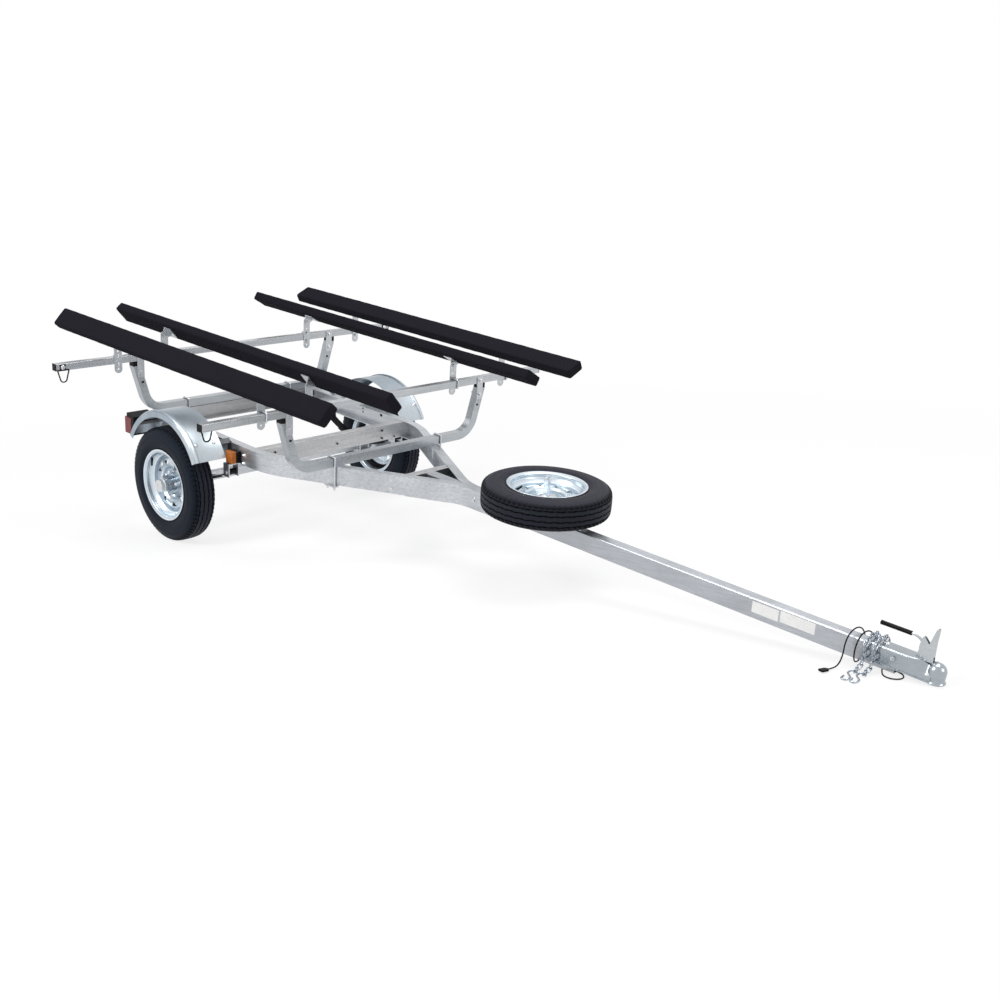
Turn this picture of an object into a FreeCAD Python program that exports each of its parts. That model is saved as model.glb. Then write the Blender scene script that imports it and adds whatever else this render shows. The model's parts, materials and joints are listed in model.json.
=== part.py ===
import FreeCAD, Part
import math
import os

# Boat trailer with four carpeted bunk boards, parked with its nose on the floor.
# The trailer is drawn level, in millimetres, with the middle of the axle at zero:
# X runs forward to the coupler, Y to the left side, Z up. One placement at the end
# tips it about the axle until the coupler rests on the floor, and moves the origin
# to the middle of its footprint.

V = FreeCAD.Vector
X_AXIS, Y_AXIS, Z_AXIS = V(1, 0, 0), V(0, 1, 0), V(0, 0, 1)
OVERRUN = 5.0                   # how far a cutter runs past the piece it cuts
FACE_GAP = 0.3                  # air between curved pieces that seat on each other

# Wheels
TYRE_R = 265.5
TYRE_WIDTH = 122.0
RIM_LIP_R = 165.5
RIM_LIP_HALF = 57.0             # from the wheel's middle to the rim's outer lip
RIM_SEAT_R = 152.0
RIM_WELL_R = 136.0
RIM_WALL = 4.0
HUB_BORE_R = 16.05
SPINDLE_R = 16.0
HUB_R = 32.0
HUB_BACK = 55.0
HUB_FRONT = 58.0
HUB_FLANGE_R = 74.0
HUB_FLANGE_T = 9.0
HUB_CAP_R = 29.5
HUB_CAP_LENGTH = 22.0
STUD_CIRCLE_R = 57.15
STUD_R = 9.5
STUD_LENGTH = 27.0
STUD_COUNT = 5
RIM_WINDOW_COUNT = 8

# Frame members
TONGUE_WIDTH = 51.0
TONGUE_HEIGHT = 76.0
TONGUE_WALL = 3.0
TONGUE_CORNER = 6.0
FRAME_FLOOR = 149.0             # underside of the tongue and of the cross members
RAIL_WALL = 4.0
RAIL_FLANGE = 40.0
RAIL_HALF_SPREAD = 465.0        # rear half width over the rails' webs
WHEEL_OUTSET = 154.0            # from a rail's web out to the middle of its wheel
WHEEL_HALF_TRACK = RAIL_HALF_SPREAD + WHEEL_OUTSET
FRONT_CROSS_X = 1012.0          # rear face of the short front cross member
FRONT_BEND_AHEAD = 258.0        # from that face to the rails' front bend
RAIL_FRONT_RUN = 250.0          # how far the rails run on past that bend
RAIL_BEND_REAR_X = 485.0
RAIL_BEND_FRONT_X = FRONT_CROSS_X + FRONT_BEND_AHEAD
RAIL_BEND_REAR_R = 420.0
RAIL_BEND_FRONT_R = 260.0
RAIL_FRONT_X = RAIL_BEND_FRONT_X + RAIL_FRONT_RUN
RAIL_EDGE_R = 5.0
RAIL_SPLIT = 0.5                # half the slit between the two rails' front flanges
TONGUE_FRONT_X = 3320.0
CROSS_WALL = 4.0
CROSS_FLANGE = 36.0
REAR_CROSS_X = -416.0           # rear face of the rear cross member
REAR_CROSS_OUTSET = 25.0        # how far it reaches past each rail
REAR_CROSS_HALF = RAIL_HALF_SPREAD + REAR_CROSS_OUTSET
REAR_CROSS_FLANGE = 46.0
REAR_CROSS_FRONT = REAR_CROSS_X + CROSS_WALL + REAR_CROSS_FLANGE
MIDDLE_CROSS_X = 390.0          # front face of the middle cross member
FRONT_CROSS_HALF = 220.0        # before its ends are trimmed to the rails
CROSS_TRIM = 150.0              # how far outside the rails the trimming reaches
GUSSET_T = 4.0
GUSSET_SETBACK = 30.0           # from the rails' front bend back to the plate's front edge
GUSSET_FRONT_X = RAIL_BEND_FRONT_X - GUSSET_SETBACK

# U-shaped stands and the crossbars on them
STAND_TUBE = 38.0
STAND_WALL = 2.5
STAND_REAR_X = -383.0
STAND_FRONT_X = 757.0
STAND_OUTSET = 43.5             # from a rail's web out to the corner of the stand's line
STAND_CORNER_Y = RAIL_HALF_SPREAD + STAND_OUTSET
STAND_LEAN_DEG = 16.0
STAND_BEND_R = 100.0
STAND_TOP = 465.0
BAR_TUBE = 31.75
BAR_WALL = 2.5
BAR_HALF = 967.0
BAR_CAP_T = 4.0
BAR_CENTRE_Z = 504.0
STRAP_T = 4.0
STRAP_WIDTH = 36.0
STRAP_INSET = 17.0              # from the middle of the leg's top to the strap's middle
STRAP_DROP = 53.0               # how far a strap reaches down its leg
STRAP_RISE = 3.0                # how far it stands above the crossbar
LEG_HOLE_R = 4.5
LEG_HOLE_DROP = 79.0

# Bunk boards and their pivoting brackets
BOARD_WIDTH = 95.0
BOARD_T = 45.0
BOARD_LENGTH = 2020.0
BOARD_EDGE_R = 7.0
BOARD_NOSE = 6.0                # how far the blunted corners of a board's ends reach
BOARD_STANDOFF = 25.0           # from the pivot to the board's underside
BRACKET_T = 4.0
BRACKET_LENGTH = 52.0
BRACKET_WIDTH = 60.0
PIVOT_R = 4.0
PIVOT_GAP = 0.1
STRIP_WIDTH = 38.0
STRIP_T = 4.0
STRIP_FOOT = 445.0
STRIP_HOLE_R = 4.5
STRIP_HOLE_PITCH = 24.0
STRIP_SPARE_HOLES = 1           # unused holes above the crossbar
INNER_PIVOT_SHARES = (0.7694, 0.7351)       # of the straps' Y, boards 2 and 3
OUTER_PIVOT_SHARES = (0.2982, 0.4626)       # of the way from straps to rings, boards 1 and 4
PIVOT_Z_1, PIVOT_Z_2, PIVOT_Z_3, PIVOT_Z_4 = 593.0, 599.0, 586.0, 589.0
BOARD_REAR_1, BOARD_REAR_2, BOARD_REAR_3, BOARD_REAR_4 = -797.0, -781.0, -794.0, -788.0
TILTS_DEG = (-48.0, 50.0, 31.0, -25.5)      # towards the left side
RING_FRONT_SETIN = 14.0         # how much further in the front crossbar's rings hang
RING_INSET = 30.0               # from the crossbar's end in to a tie ring's middle

# Running gear
AXLE_TUBE = 38.0
SPINDLE_REACH = 41.0            # past the middle of the wheel
SPINDLE_SHOW = 19.0             # bare spindle between the axle tube and the hub
SPRING_OUTSET = 24.0            # from a rail's web out to the middle of its spring
SPRING_Y = RAIL_HALF_SPREAD + SPRING_OUTSET
SPINDLE_END = WHEEL_HALF_TRACK + SPINDLE_REACH
AXLE_HALF = WHEEL_HALF_TRACK - HUB_BACK - SPINDLE_SHOW
SPRING_WIDTH = 44.0
LEAF_T = 6.0
SPRING_HALF = 265.0             # from the axle to a spring eye
SPRING_CAMBER = 75.0            # how far the eyes stand above the leaf's middle
SECOND_LEAF_SHARE = 0.62        # of the main leaf's half length
EYE_R = 14.0
EYE_BORE_R = 8.0
HANGER_T = 5.0
HANGER_HALF_X = 21.0
HANGER_DROP = 62.0
CLAMP_ROD_R = 5.0
CLAMP_PLATE_T = 6.0

# Fenders
FENDER_R = 300.0
FENDER_CENTRE_Z = 42.0
FENDER_T = 2.0
FENDER_INSET = 99.0             # from the wheel's middle in to the fender's inner edge
FENDER_OVERHANG = 61.0          # and out to its outer edge
FENDER_INNER_Y = WHEEL_HALF_TRACK - FENDER_INSET
FENDER_OUTER_Y = WHEEL_HALF_TRACK + FENDER_OVERHANG
FENDER_END_DEG = 26.0
FENDER_RIDGE_WIDTH = 15.0
FENDER_RIDGE_HEIGHT = 4.0
FENDER_LIP = 26.0
FENDER_ARM_DEG = 41.0
FENDER_ARM_WIDTH = 26.0
FENDER_ARM_T = 5.0

# Lamps
LAMP_PLATE_T = 4.0              # plate over each end of the rear cross member
LAMP_PLATE_REACH = 40.0         # how far that plate overlaps the cross member's end
LAMP_PLATE_HEIGHT = 35.0
LAMP_WIDTH = 110.0
LAMP_FOOT_DROP = 18.0           # below the rear cross member
LAMP_DEPTH = 25.0
LAMP_ROOF_REACH = 61.0          # how far its roof reaches back over the lens
LAMP_RISE = 6.0                 # how far the roof's rear edge stands above the cross member
LAMP_SLOPE = 10.0               # how far its roof falls to the front
LENS_DEPTH = 56.0
LENS_HEIGHT = 79.0
MARKER_REAR_X = 255.0
MARKER_LENGTH = 48.0
MARKER_TAB = 8.0
MARKER_HEIGHT = 54.0
MARKER_LIFT = 1.0
MARKER_PLATE_T = 3.0
MARKER_BASE_T = 20.0
MARKER_LENS_T = 24.0

# Coupler and latch
COUPLER_REAR_X = 3203.0
COUPLER_WALL = 3.0
COUPLER_FOOT = 166.0
COUPLER_FLARE = 8.0
BALL_X = 3453.0
BALL_R = 25.4
BALL_GAP = 0.3
BALL_CENTRE_Z = 203.0
SOCKET_FOOT = 165.0
SOCKET_LIP_R = 33.0
SOCKET_LIP_T = 5.0
LATCH_T = 6.0
LATCH_PIVOT_X = 3395.0
LATCH_REAR = 22.0
LATCH_LENGTH = 62.0
LATCH_HEIGHT = 118.0
ROD_R = 5.0
GRIP_R = 8.0
GRIP_REAR_X = 3234.0
GRIP_FRONT_X = 3351.0
GRIP_Z = 299.0

# Spare wheel
SPARE_AHEAD = 213.0             # from the rails' front ends to the spare's middle
SPARE_X = RAIL_FRONT_X + SPARE_AHEAD
SPARE_CENTRE_Z = 302.0
POST_R = 7.0
POST_HEAD = 392.0
CARRIER_PLATE_T = 5.0

# Safety chain and its hooks
LINK_WIRE = 4.6
LINK_PITCH = 24.0
LINK_WIDTH = 20.0
LINK_SLACK = 0.5
LINK_TURN_SLACK = 2.1           # more slack where the chain turns, for each radian
CHAIN_SAMPLES = 4000
CHAIN_INSET = 13.0              # from the coupler's rear edge to the first run
CHAIN_SPREAD = 34.0
CHAIN_XS = (COUPLER_REAR_X + CHAIN_INSET, COUPLER_REAR_X + CHAIN_INSET + CHAIN_SPREAD)
CHAIN_STANDOFF = 18.5
CHAIN_BEND_R = 34.0
CHAIN_BOLT_Z = 182.0
CHAIN_BOLT_R = 3.0
CHAIN_FLOOR_RUN = 70.0
HOOK_WIRE_R = 3.25
HOOK_BOW_R = 9.0

# Lamp wiring, its route in the level frame, and its flat plug
CORD_R = 2.5
CORD_ARC_SHARE = 0.45
CORD_ROUTE = (
    (3312.0, -8.0, 154.5), (3338.0, -8.5, 154.5), (3357.0, -22.0, 153.8), (3360.0, -44.0, 153.3),
    (3345.0, -62.0, 151.5), (3320.0, -66.0, 148.5), (3296.0, -54.0, 145.3), (3280.0, -28.0, 143.6),
    (3264.0, 4.0, 142.6), (3246.0, 34.0, 139.4), (3222.0, 58.0, 137.0), (3202.0, 68.0, 158.0),
    (3194.0, 62.0, 196.0), (3192.0, 44.0, 232.0), (3190.0, 8.0, 250.0), (3188.0, -32.0, 246.0),
    (3188.0, -58.0, 216.0), (3188.0, -62.0, 176.0), (3186.0, -44.0, 146.0), (3182.0, -8.0, 138.0),
    (3176.0, 32.0, 142.0), (3166.0, 60.0, 168.0), (3158.0, 62.0, 206.0), (3154.0, 38.0, 238.0),
    (3152.0, 0.0, 250.0), (3150.0, -38.0, 240.0), (3150.0, -62.0, 210.0), (3152.0, -66.0, 170.0),
    (3150.0, -78.0, 138.0), (3146.0, -102.0, 127.4), (3138.0, -126.0, 127.8),
)
PLUG_LENGTH = 34.0
PLUG_WIDTH = 26.0
PLUG_T = 9.0


def cos_deg(angle):
    return math.cos(math.radians(angle))


def sin_deg(angle):
    return math.sin(math.radians(angle))


def tan_deg(angle):
    return math.tan(math.radians(angle))


def block(x0, x1, y0, y1, z0, z1):
    return Part.makeBox(x1 - x0, y1 - y0, z1 - z0, V(x0, y0, z0))


def rod(start, end, radius):
    return Part.makeCylinder(radius, (end - start).Length, start, end - start)


def fuse(shapes):
    joined = shapes[0]
    for shape in shapes[1:]:
        joined = joined.fuse(shape)
    return joined.removeSplitter()


def mirrored(shape):
    """The same piece on the other side of the trailer."""
    return shape.mirror(V(0, 0, 0), Y_AXIS)


def pair(shape):
    """A right-hand piece and its left-hand twin, as two solids."""
    return Part.makeCompound([shape, mirrored(shape)])


def in_plan(u, v):
    return V(u, v, 0)


def in_front(u, v):
    return V(0, u, v)


def in_side(u, v):
    return V(u, 0, v)


def polygon_face(points, place):
    corners = [place(u, v) for u, v in points]
    return Part.Face(Part.makePolygon(corners + [corners[0]]))


def offset_edges(points, radii, distance, place):
    """Edges of a line with rounded corners, moved sideways to its left by a distance."""
    edges = []
    last = None
    for i, (u, v) in enumerate(points):
        if i == 0 or i == len(points) - 1:
            near, far = (points[0], points[1]) if i == 0 else (points[-2], points[-1])
            run = math.hypot(far[0] - near[0], far[1] - near[1])
            side = (-(far[1] - near[1]) / run * distance, (far[0] - near[0]) / run * distance)
            here = place(u + side[0], v + side[1])
            if last is not None:
                edges.append(Part.LineSegment(last, here).toShape())
            last = here
            continue
        angle_in = math.atan2(v - points[i - 1][1], u - points[i - 1][0])
        angle_out = math.atan2(points[i + 1][1] - v, points[i + 1][0] - u)
        turn = (angle_out - angle_in + math.pi) % (2 * math.pi) - math.pi
        hand = 1 if turn > 0 else -1
        radius = radii[i - 1]
        back = radius * math.tan(abs(turn) / 2)
        foot = (u - back * math.cos(angle_in), v - back * math.sin(angle_in))
        centre = (foot[0] - hand * radius * math.sin(angle_in),
                  foot[1] + hand * radius * math.cos(angle_in))
        reach = radius - hand * distance
        arc = []
        for angle in (angle_in, angle_in + turn / 2, angle_in + turn):
            arc.append(place(centre[0] + hand * reach * math.sin(angle),
                             centre[1] - hand * reach * math.cos(angle)))
        edges.append(Part.LineSegment(last, arc[0]).toShape())
        edges.append(Part.Arc(arc[0], arc[1], arc[2]).toShape())
        last = arc[2]
    return edges


def strip_face(points, radii, near, far, place):
    """The flat band between two offsets of a line with rounded corners."""
    one = offset_edges(points, radii, near, place)
    other = offset_edges(points, radii, far, place)
    ends = [Part.LineSegment(one[0].firstVertex().Point, other[0].firstVertex().Point).toShape(),
            Part.LineSegment(one[-1].lastVertex().Point, other[-1].lastVertex().Point).toShape()]
    return Part.Face(Part.Wire(Part.__sortEdges__(one + other + ends)))


def path_wire(points, radii, place):
    return Part.Wire(Part.__sortEdges__(offset_edges(points, radii, 0, place)))


def bent_rod(points, radii, place, radius):
    """A round rod along a line with rounded corners."""
    path = path_wire(points, radii, place)
    start = path.OrderedVertexes[0].Point
    heading = path.OrderedVertexes[1].Point - start
    ring = Part.Wire(Part.makeCircle(radius, start, heading))
    return path.makePipeShell([ring], True, True)


def rounded_tube(x0, x1, width, height, corner, centre_z):
    """A solid bar along X with rounded long edges, centred on Y zero."""
    bar = block(x0, x1, -width / 2, width / 2, centre_z - height / 2, centre_z + height / 2)
    edges = [e for e in bar.Edges if abs(e.Length - (x1 - x0)) < FACE_GAP]
    return bar.makeFillet(corner, edges)


def ring_of(points):
    """A closed outline of radius and height turned about Z."""
    return polygon_face(points, in_side).revolve(V(0, 0, 0), Z_AXIS, 360)


# Wheels, drawn with their axle along Z and the outer side up

def rim():
    lip_step = (RIM_LIP_R - RIM_SEAT_R) / 3
    lip_inner = RIM_LIP_HALF - RIM_WALL
    seat_half = lip_inner - lip_step
    well_half = seat_half * 0.36
    slope_half = seat_half * 0.64
    outer = [(RIM_LIP_R, RIM_LIP_HALF), (RIM_LIP_R, lip_inner), (RIM_SEAT_R + lip_step, lip_inner),
             (RIM_SEAT_R, seat_half), (RIM_SEAT_R, slope_half), (RIM_WELL_R, well_half)]
    inner = [(RIM_WELL_R - RIM_WALL, well_half + RIM_WALL / 2),
             (RIM_SEAT_R - RIM_WALL, slope_half + RIM_WALL / 2),
             (RIM_SEAT_R - RIM_WALL, seat_half + RIM_WALL / 2),
             (RIM_SEAT_R, RIM_LIP_HALF)]
    lower_outer = [(r, -z) for r, z in reversed(outer)]
    lower_inner = [(r, -z) for r, z in reversed(inner)]
    barrel = ring_of(outer + lower_outer + lower_inner + inner)
    disc = ring_of([(HUB_R + FACE_GAP, 0), (HUB_FLANGE_R, 0), (HUB_FLANGE_R * 1.2, RIM_WALL * 4),
                    (HUB_FLANGE_R * 1.5, RIM_WALL * 3), (RIM_WELL_R - RIM_WALL, 0),
                    (RIM_WELL_R - RIM_WALL, RIM_WALL), (HUB_FLANGE_R * 1.5, RIM_WALL * 4),
                    (HUB_FLANGE_R * 1.2, RIM_WALL * 5), (HUB_FLANGE_R, RIM_WALL),
                    (HUB_R + FACE_GAP, RIM_WALL)])
    foot_r, head_r, half_wide = HUB_FLANGE_R * 1.25, RIM_WELL_R * 0.9, RIM_WELL_R * 0.1
    window = polygon_face([(foot_r, -half_wide), (head_r, 0), (foot_r, half_wide)], in_plan)
    cutter = window.extrude(V(0, 0, RIM_LIP_HALF))
    for i in range(RIM_WINDOW_COUNT):
        disc = disc.cut(cutter.rotated(V(0, 0, 0), Z_AXIS, 360.0 * i / RIM_WINDOW_COUNT))
    return fuse([barrel, disc])


def tyre():
    seat = RIM_SEAT_R + FACE_GAP
    half = TYRE_WIDTH / 2
    bead_half = RIM_LIP_HALF - RIM_WALL - (RIM_LIP_R - RIM_SEAT_R) / 3 - FACE_GAP
    wall = TYRE_R - RIM_LIP_R
    outline = [(seat, bead_half), (RIM_LIP_R + wall * 0.04, bead_half + wall * 0.03),
               (RIM_LIP_R + wall * 0.16, half * 0.95), (RIM_LIP_R + wall * 0.42, half),
               (RIM_LIP_R + wall * 0.68, half * 0.96), (TYRE_R - wall * 0.12, half * 0.84),
               (TYRE_R - wall * 0.03, half * 0.68), (TYRE_R, half * 0.35)]
    return ring_of(outline + [(r, -z) for r, z in reversed(outline)])


def hub():
    """Hub with its flange against the back of the wheel disc, studs with nuts, and dust cap."""
    flange = Part.makeCylinder(HUB_FLANGE_R, HUB_FLANGE_T, V(0, 0, -HUB_FLANGE_T))
    barrel = Part.makeCylinder(HUB_R, HUB_BACK + HUB_FRONT, V(0, 0, -HUB_BACK))
    cap = Part.makeCylinder(HUB_CAP_R, HUB_CAP_LENGTH, V(0, 0, HUB_FRONT))
    cap = cap.makeFillet(HUB_CAP_R * 0.3, [cap.Edges[0]])
    solid = fuse([flange, barrel, cap])
    bore_floor = -HUB_BACK - OVERRUN
    bore_head = SPINDLE_END - WHEEL_HALF_TRACK + OVERRUN
    solid = solid.cut(Part.makeCylinder(HUB_BORE_R, bore_head - bore_floor, V(0, 0, bore_floor)))
    nuts = []
    for i in range(STUD_COUNT):
        angle = 360.0 * i / STUD_COUNT
        corners = []
        for k in range(6):
            turn = angle + 60.0 * k
            corners.append((STUD_CIRCLE_R * cos_deg(angle) + STUD_R * cos_deg(turn),
                            STUD_CIRCLE_R * sin_deg(angle) + STUD_R * sin_deg(turn)))
        nut = polygon_face(corners, in_plan).extrude(V(0, 0, STUD_LENGTH))
        nut.translate(V(0, 0, RIM_WALL))
        nuts.append(nut)
    return Part.makeCompound([solid] + nuts)


def on_axle(shape, side):
    """Stand a wheel piece on the axle, outer side out; side is -1 right, 1 left."""
    turned = shape.rotated(V(0, 0, 0), X_AXIS, -90.0 * side)
    turned.translate(V(0, side * WHEEL_HALF_TRACK, 0))
    return turned


def on_tongue(shape):
    laid = shape.copy()
    laid.translate(V(SPARE_X, 0, SPARE_CENTRE_Z))
    return laid


# Frame

RAIL_HALF_FRONT = TONGUE_WIDTH / 2 + RAIL_WALL
RAIL_PATH = [(REAR_CROSS_X + CROSS_WALL, -RAIL_HALF_SPREAD), (RAIL_BEND_REAR_X, -RAIL_HALF_SPREAD),
             (RAIL_BEND_FRONT_X, -RAIL_HALF_FRONT), (RAIL_FRONT_X, -RAIL_HALF_FRONT)]
RAIL_RADII = [RAIL_BEND_REAR_R, RAIL_BEND_FRONT_R]
RAIL_SLOPE = (RAIL_HALF_SPREAD - RAIL_HALF_FRONT) / (RAIL_BEND_FRONT_X - RAIL_BEND_REAR_X)
FRAME_HEAD = FRAME_FLOOR + TONGUE_HEIGHT
RAIL_FLOOR = FRAME_FLOOR - RAIL_WALL
RAIL_HEAD = FRAME_HEAD + RAIL_WALL
RAIL_BOLT_R = 7.0
RAIL_HOLE_R = 6.0


def rail():
    """Right-hand side rail: a channel open to the inside, bent twice in plan."""
    outside = strip_face(RAIL_PATH, RAIL_RADII, 0, RAIL_FLANGE, in_plan)
    outside.translate(V(0, 0, RAIL_FLOOR))
    body = outside.extrude(V(0, 0, RAIL_HEAD - RAIL_FLOOR))
    inside = strip_face(RAIL_PATH, RAIL_RADII, RAIL_WALL, RAIL_FLANGE + OVERRUN, in_plan)
    inside.translate(V(0, 0, FRAME_FLOOR))
    body = body.cut(inside.extrude(V(0, 0, TONGUE_HEIGHT)))
    past_middle = block(RAIL_BEND_REAR_X, RAIL_FRONT_X + OVERRUN, -RAIL_SPLIT,
                        RAIL_FLANGE, RAIL_FLOOR - OVERRUN, RAIL_HEAD + OVERRUN)
    body = body.cut(past_middle)
    coped = block(REAR_CROSS_X, REAR_CROSS_FRONT + LAMP_PLATE_T,
                  -RAIL_HALF_SPREAD - OVERRUN, -RAIL_HALF_SPREAD + RAIL_WALL + OVERRUN,
                  FRAME_FLOOR, FRAME_HEAD)
    return body.cut(coped)


def cross_channel(web_x, flange_way, half_length, wall, flange):
    """A channel along Y between the rails' flanges; flange_way is the X way its flanges point."""
    x0, x1 = sorted((web_x, web_x + flange_way * (wall + flange)))
    body = block(x0, x1, -half_length, half_length, FRAME_FLOOR, FRAME_HEAD)
    c0, c1 = sorted((web_x + flange_way * wall, web_x + flange_way * (wall + flange + OVERRUN)))
    hollow = block(c0, c1, -half_length - OVERRUN, half_length + OVERRUN,
                   FRAME_FLOOR + wall, FRAME_HEAD - wall)
    return body.cut(hollow)


def lamp_plates():
    """A plate at each end of the rear cross member that carries a tail lamp."""
    plates = []
    for side in (-1, 1):
        y0, y1 = sorted((side * (REAR_CROSS_HALF - LAMP_PLATE_REACH),
                         side * (REAR_CROSS_HALF + LAMP_WIDTH)))
        plates.append(block(REAR_CROSS_FRONT, REAR_CROSS_FRONT + LAMP_PLATE_T, y0, y1,
                            FRAME_FLOOR, FRAME_FLOOR + LAMP_PLATE_HEIGHT))
    return plates


def between_rails(channel):
    """Trim a cross member so that its ends meet the inside of both webs."""
    outside = strip_face(RAIL_PATH, RAIL_RADII, -CROSS_TRIM, RAIL_WALL, in_plan)
    outside.translate(V(0, 0, RAIL_FLOOR))
    outside = outside.extrude(V(0, 0, RAIL_HEAD - RAIL_FLOOR))
    return channel.cut([outside, mirrored(outside)])


def gusset_plate():
    """Flat plate under the two rails where they meet the tongue."""
    rear_x = FRONT_CROSS_X + CROSS_WALL + CROSS_FLANGE
    corners = []
    for x in (rear_x, GUSSET_FRONT_X):
        corners.append((x, -RAIL_HALF_SPREAD + (x - RAIL_BEND_REAR_X) * RAIL_SLOPE + RAIL_WALL))
    outline = corners + [(x, -y) for x, y in reversed(corners)]
    plate = polygon_face(outline, in_plan).extrude(V(0, 0, GUSSET_T))
    plate.translate(V(0, 0, RAIL_FLOOR - GUSSET_T))
    return plate


def tongue():
    centre_z = FRAME_FLOOR + TONGUE_HEIGHT / 2
    rear_x = FRONT_CROSS_X + CROSS_WALL + CROSS_FLANGE
    outer = rounded_tube(rear_x, TONGUE_FRONT_X, TONGUE_WIDTH, TONGUE_HEIGHT, TONGUE_CORNER, centre_z)
    inner = rounded_tube(rear_x - OVERRUN, TONGUE_FRONT_X + OVERRUN, TONGUE_WIDTH - 2 * TONGUE_WALL,
                         TONGUE_HEIGHT - 2 * TONGUE_WALL, TONGUE_CORNER - TONGUE_WALL, centre_z)
    return outer.cut(inner)


# Stands, crossbars and their hardware

STAND_CENTRE_Z = RAIL_HEAD + STAND_TUBE / 2
STAND_RISE = STAND_TOP + STAND_TUBE - STAND_CENTRE_Z
STAND_TIP_Y = STAND_CORNER_Y + STAND_RISE * tan_deg(STAND_LEAN_DEG)
STAND_PATH = [(-STAND_TIP_Y, STAND_CENTRE_Z + STAND_RISE), (-STAND_CORNER_Y, STAND_CENTRE_Z),
              (STAND_CORNER_Y, STAND_CENTRE_Z), (STAND_TIP_Y, STAND_CENTRE_Z + STAND_RISE)]
STAND_RADII = [STAND_BEND_R, STAND_BEND_R]
LEG_HOLE_Z = STAND_TOP - LEG_HOLE_DROP
STRAP_Y = STAND_CORNER_Y + (STAND_TOP - STAND_CENTRE_Z) * tan_deg(STAND_LEAN_DEG) - STRAP_INSET
STAND_LEG_Y = STAND_CORNER_Y + (STAND_TOP - STAND_CENTRE_Z) * tan_deg(STAND_LEAN_DEG)
STAND_STATIONS = (STAND_REAR_X, STAND_FRONT_X)
BAR_SHIFT = (STAND_TUBE - BAR_TUBE) / 2     # brings the crossbar's face level with the leg's
BAR_FLOOR = BAR_CENTRE_Z - BAR_TUBE / 2
BAR_HEAD = BAR_CENTRE_Z + BAR_TUBE / 2


def stand(x):
    """One bent square tube: a flat middle, two wide bends and two legs that lean out."""
    half = STAND_TUBE / 2
    outer = strip_face(STAND_PATH, STAND_RADII, -half, half, in_front)
    outer.translate(V(x - half, 0, 0))
    outer = outer.extrude(V(STAND_TUBE, 0, 0))
    inner = strip_face(STAND_PATH, STAND_RADII, STAND_WALL - half, half - STAND_WALL, in_front)
    inner.translate(V(x - half + STAND_WALL, 0, 0))
    body = outer.cut(inner.extrude(V(STAND_TUBE - 2 * STAND_WALL, 0, 0)))
    above = block(x - STAND_TUBE, x + STAND_TUBE, -BAR_HALF, BAR_HALF, STAND_TOP, BAR_HEAD)
    body = body.cut(above)
    for side in (-1, 1):
        hole_y = side * (STAND_CORNER_Y + (LEG_HOLE_Z - STAND_CENTRE_Z) * tan_deg(STAND_LEAN_DEG))
        body = body.cut(rod(V(x - STAND_TUBE, hole_y, LEG_HOLE_Z),
                            V(x + STAND_TUBE, hole_y, LEG_HOLE_Z), LEG_HOLE_R))
    return body


def stand_plugs():
    plugs = []
    half = STAND_TUBE / 2
    for x in STAND_STATIONS:
        for side in (-1, 1):
            y = side * STAND_LEG_Y
            plugs.append(block(x - half, x + half, y - half, y + half, STAND_TOP, BAR_FLOOR))
    return Part.makeCompound(plugs)


def stand_straps():
    """Flat straps that tie each leg to the crossbar above it."""
    straps = []
    for x in STAND_STATIONS:
        face_x = x + STAND_TUBE / 2
        for side in (-1, 1):
            strap = block(face_x, face_x + STRAP_T, side * STRAP_Y - STRAP_WIDTH / 2,
                          side * STRAP_Y + STRAP_WIDTH / 2, STAND_TOP - STRAP_DROP,
                          BAR_HEAD + STRAP_RISE)
            straps.append(strap)
    return Part.makeCompound(straps)


def crossbar(x):
    centre = x + BAR_SHIFT
    half = BAR_TUBE / 2
    hollow = half - BAR_WALL
    outer = block(centre - half, centre + half, -BAR_HALF, BAR_HALF, BAR_FLOOR, BAR_HEAD)
    inner = block(centre - hollow, centre + hollow, -BAR_HALF - OVERRUN, BAR_HALF + OVERRUN,
                  BAR_CENTRE_Z - hollow, BAR_CENTRE_Z + hollow)
    return outer.cut(inner)


def crossbar_caps():
    caps = []
    half = BAR_TUBE / 2
    for x in STAND_STATIONS:
        centre = x + BAR_SHIFT
        for side in (-1, 1):
            y0, y1 = sorted((side * BAR_HALF, side * (BAR_HALF + BAR_CAP_T)))
            caps.append(block(centre - half, centre + half, y0, y1, BAR_FLOOR, BAR_HEAD))
    return Part.makeCompound(caps)


UBOLT_R = 4.0
UBOLT_HOLE_R = 4.5
UBOLT_PLATE_T = 6.0
UBOLT_PLATE_HALF = 13.0
UBOLT_TAIL = 22.0
UBOLT_INSET = 2.0               # from the rail's web line in to the front U-bolts
UBOLT_REAR_INSET = 163.0        # and from the rail's web in to the rear U-bolts
UBOLT_FRONT_Y = RAIL_HALF_SPREAD - (STAND_FRONT_X - RAIL_BEND_REAR_X) * RAIL_SLOPE - UBOLT_INSET
UBOLT_REAR_Y = RAIL_HALF_SPREAD - UBOLT_REAR_INSET


def stand_ubolt(x, y, floor_z):
    """Square-topped U-bolt over a stand tube, with a plate and nuts under the frame."""
    reach = STAND_TUBE / 2 + UBOLT_R + FACE_GAP
    head = STAND_CENTRE_Z + STAND_TUBE / 2 + UBOLT_R + FACE_GAP
    tail = floor_z - UBOLT_TAIL
    corner = UBOLT_R * 1.6
    path = [(x - reach, tail), (x - reach, head), (x + reach, head), (x + reach, tail)]
    bow = bent_rod(path, [corner, corner], lambda u, v: V(u, y, v), UBOLT_R)
    span = reach + UBOLT_PLATE_HALF
    plate = block(x - span, x + span, y - UBOLT_PLATE_HALF, y + UBOLT_PLATE_HALF,
                  floor_z - UBOLT_PLATE_T, floor_z)
    return fuse([bow, plate])


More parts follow.
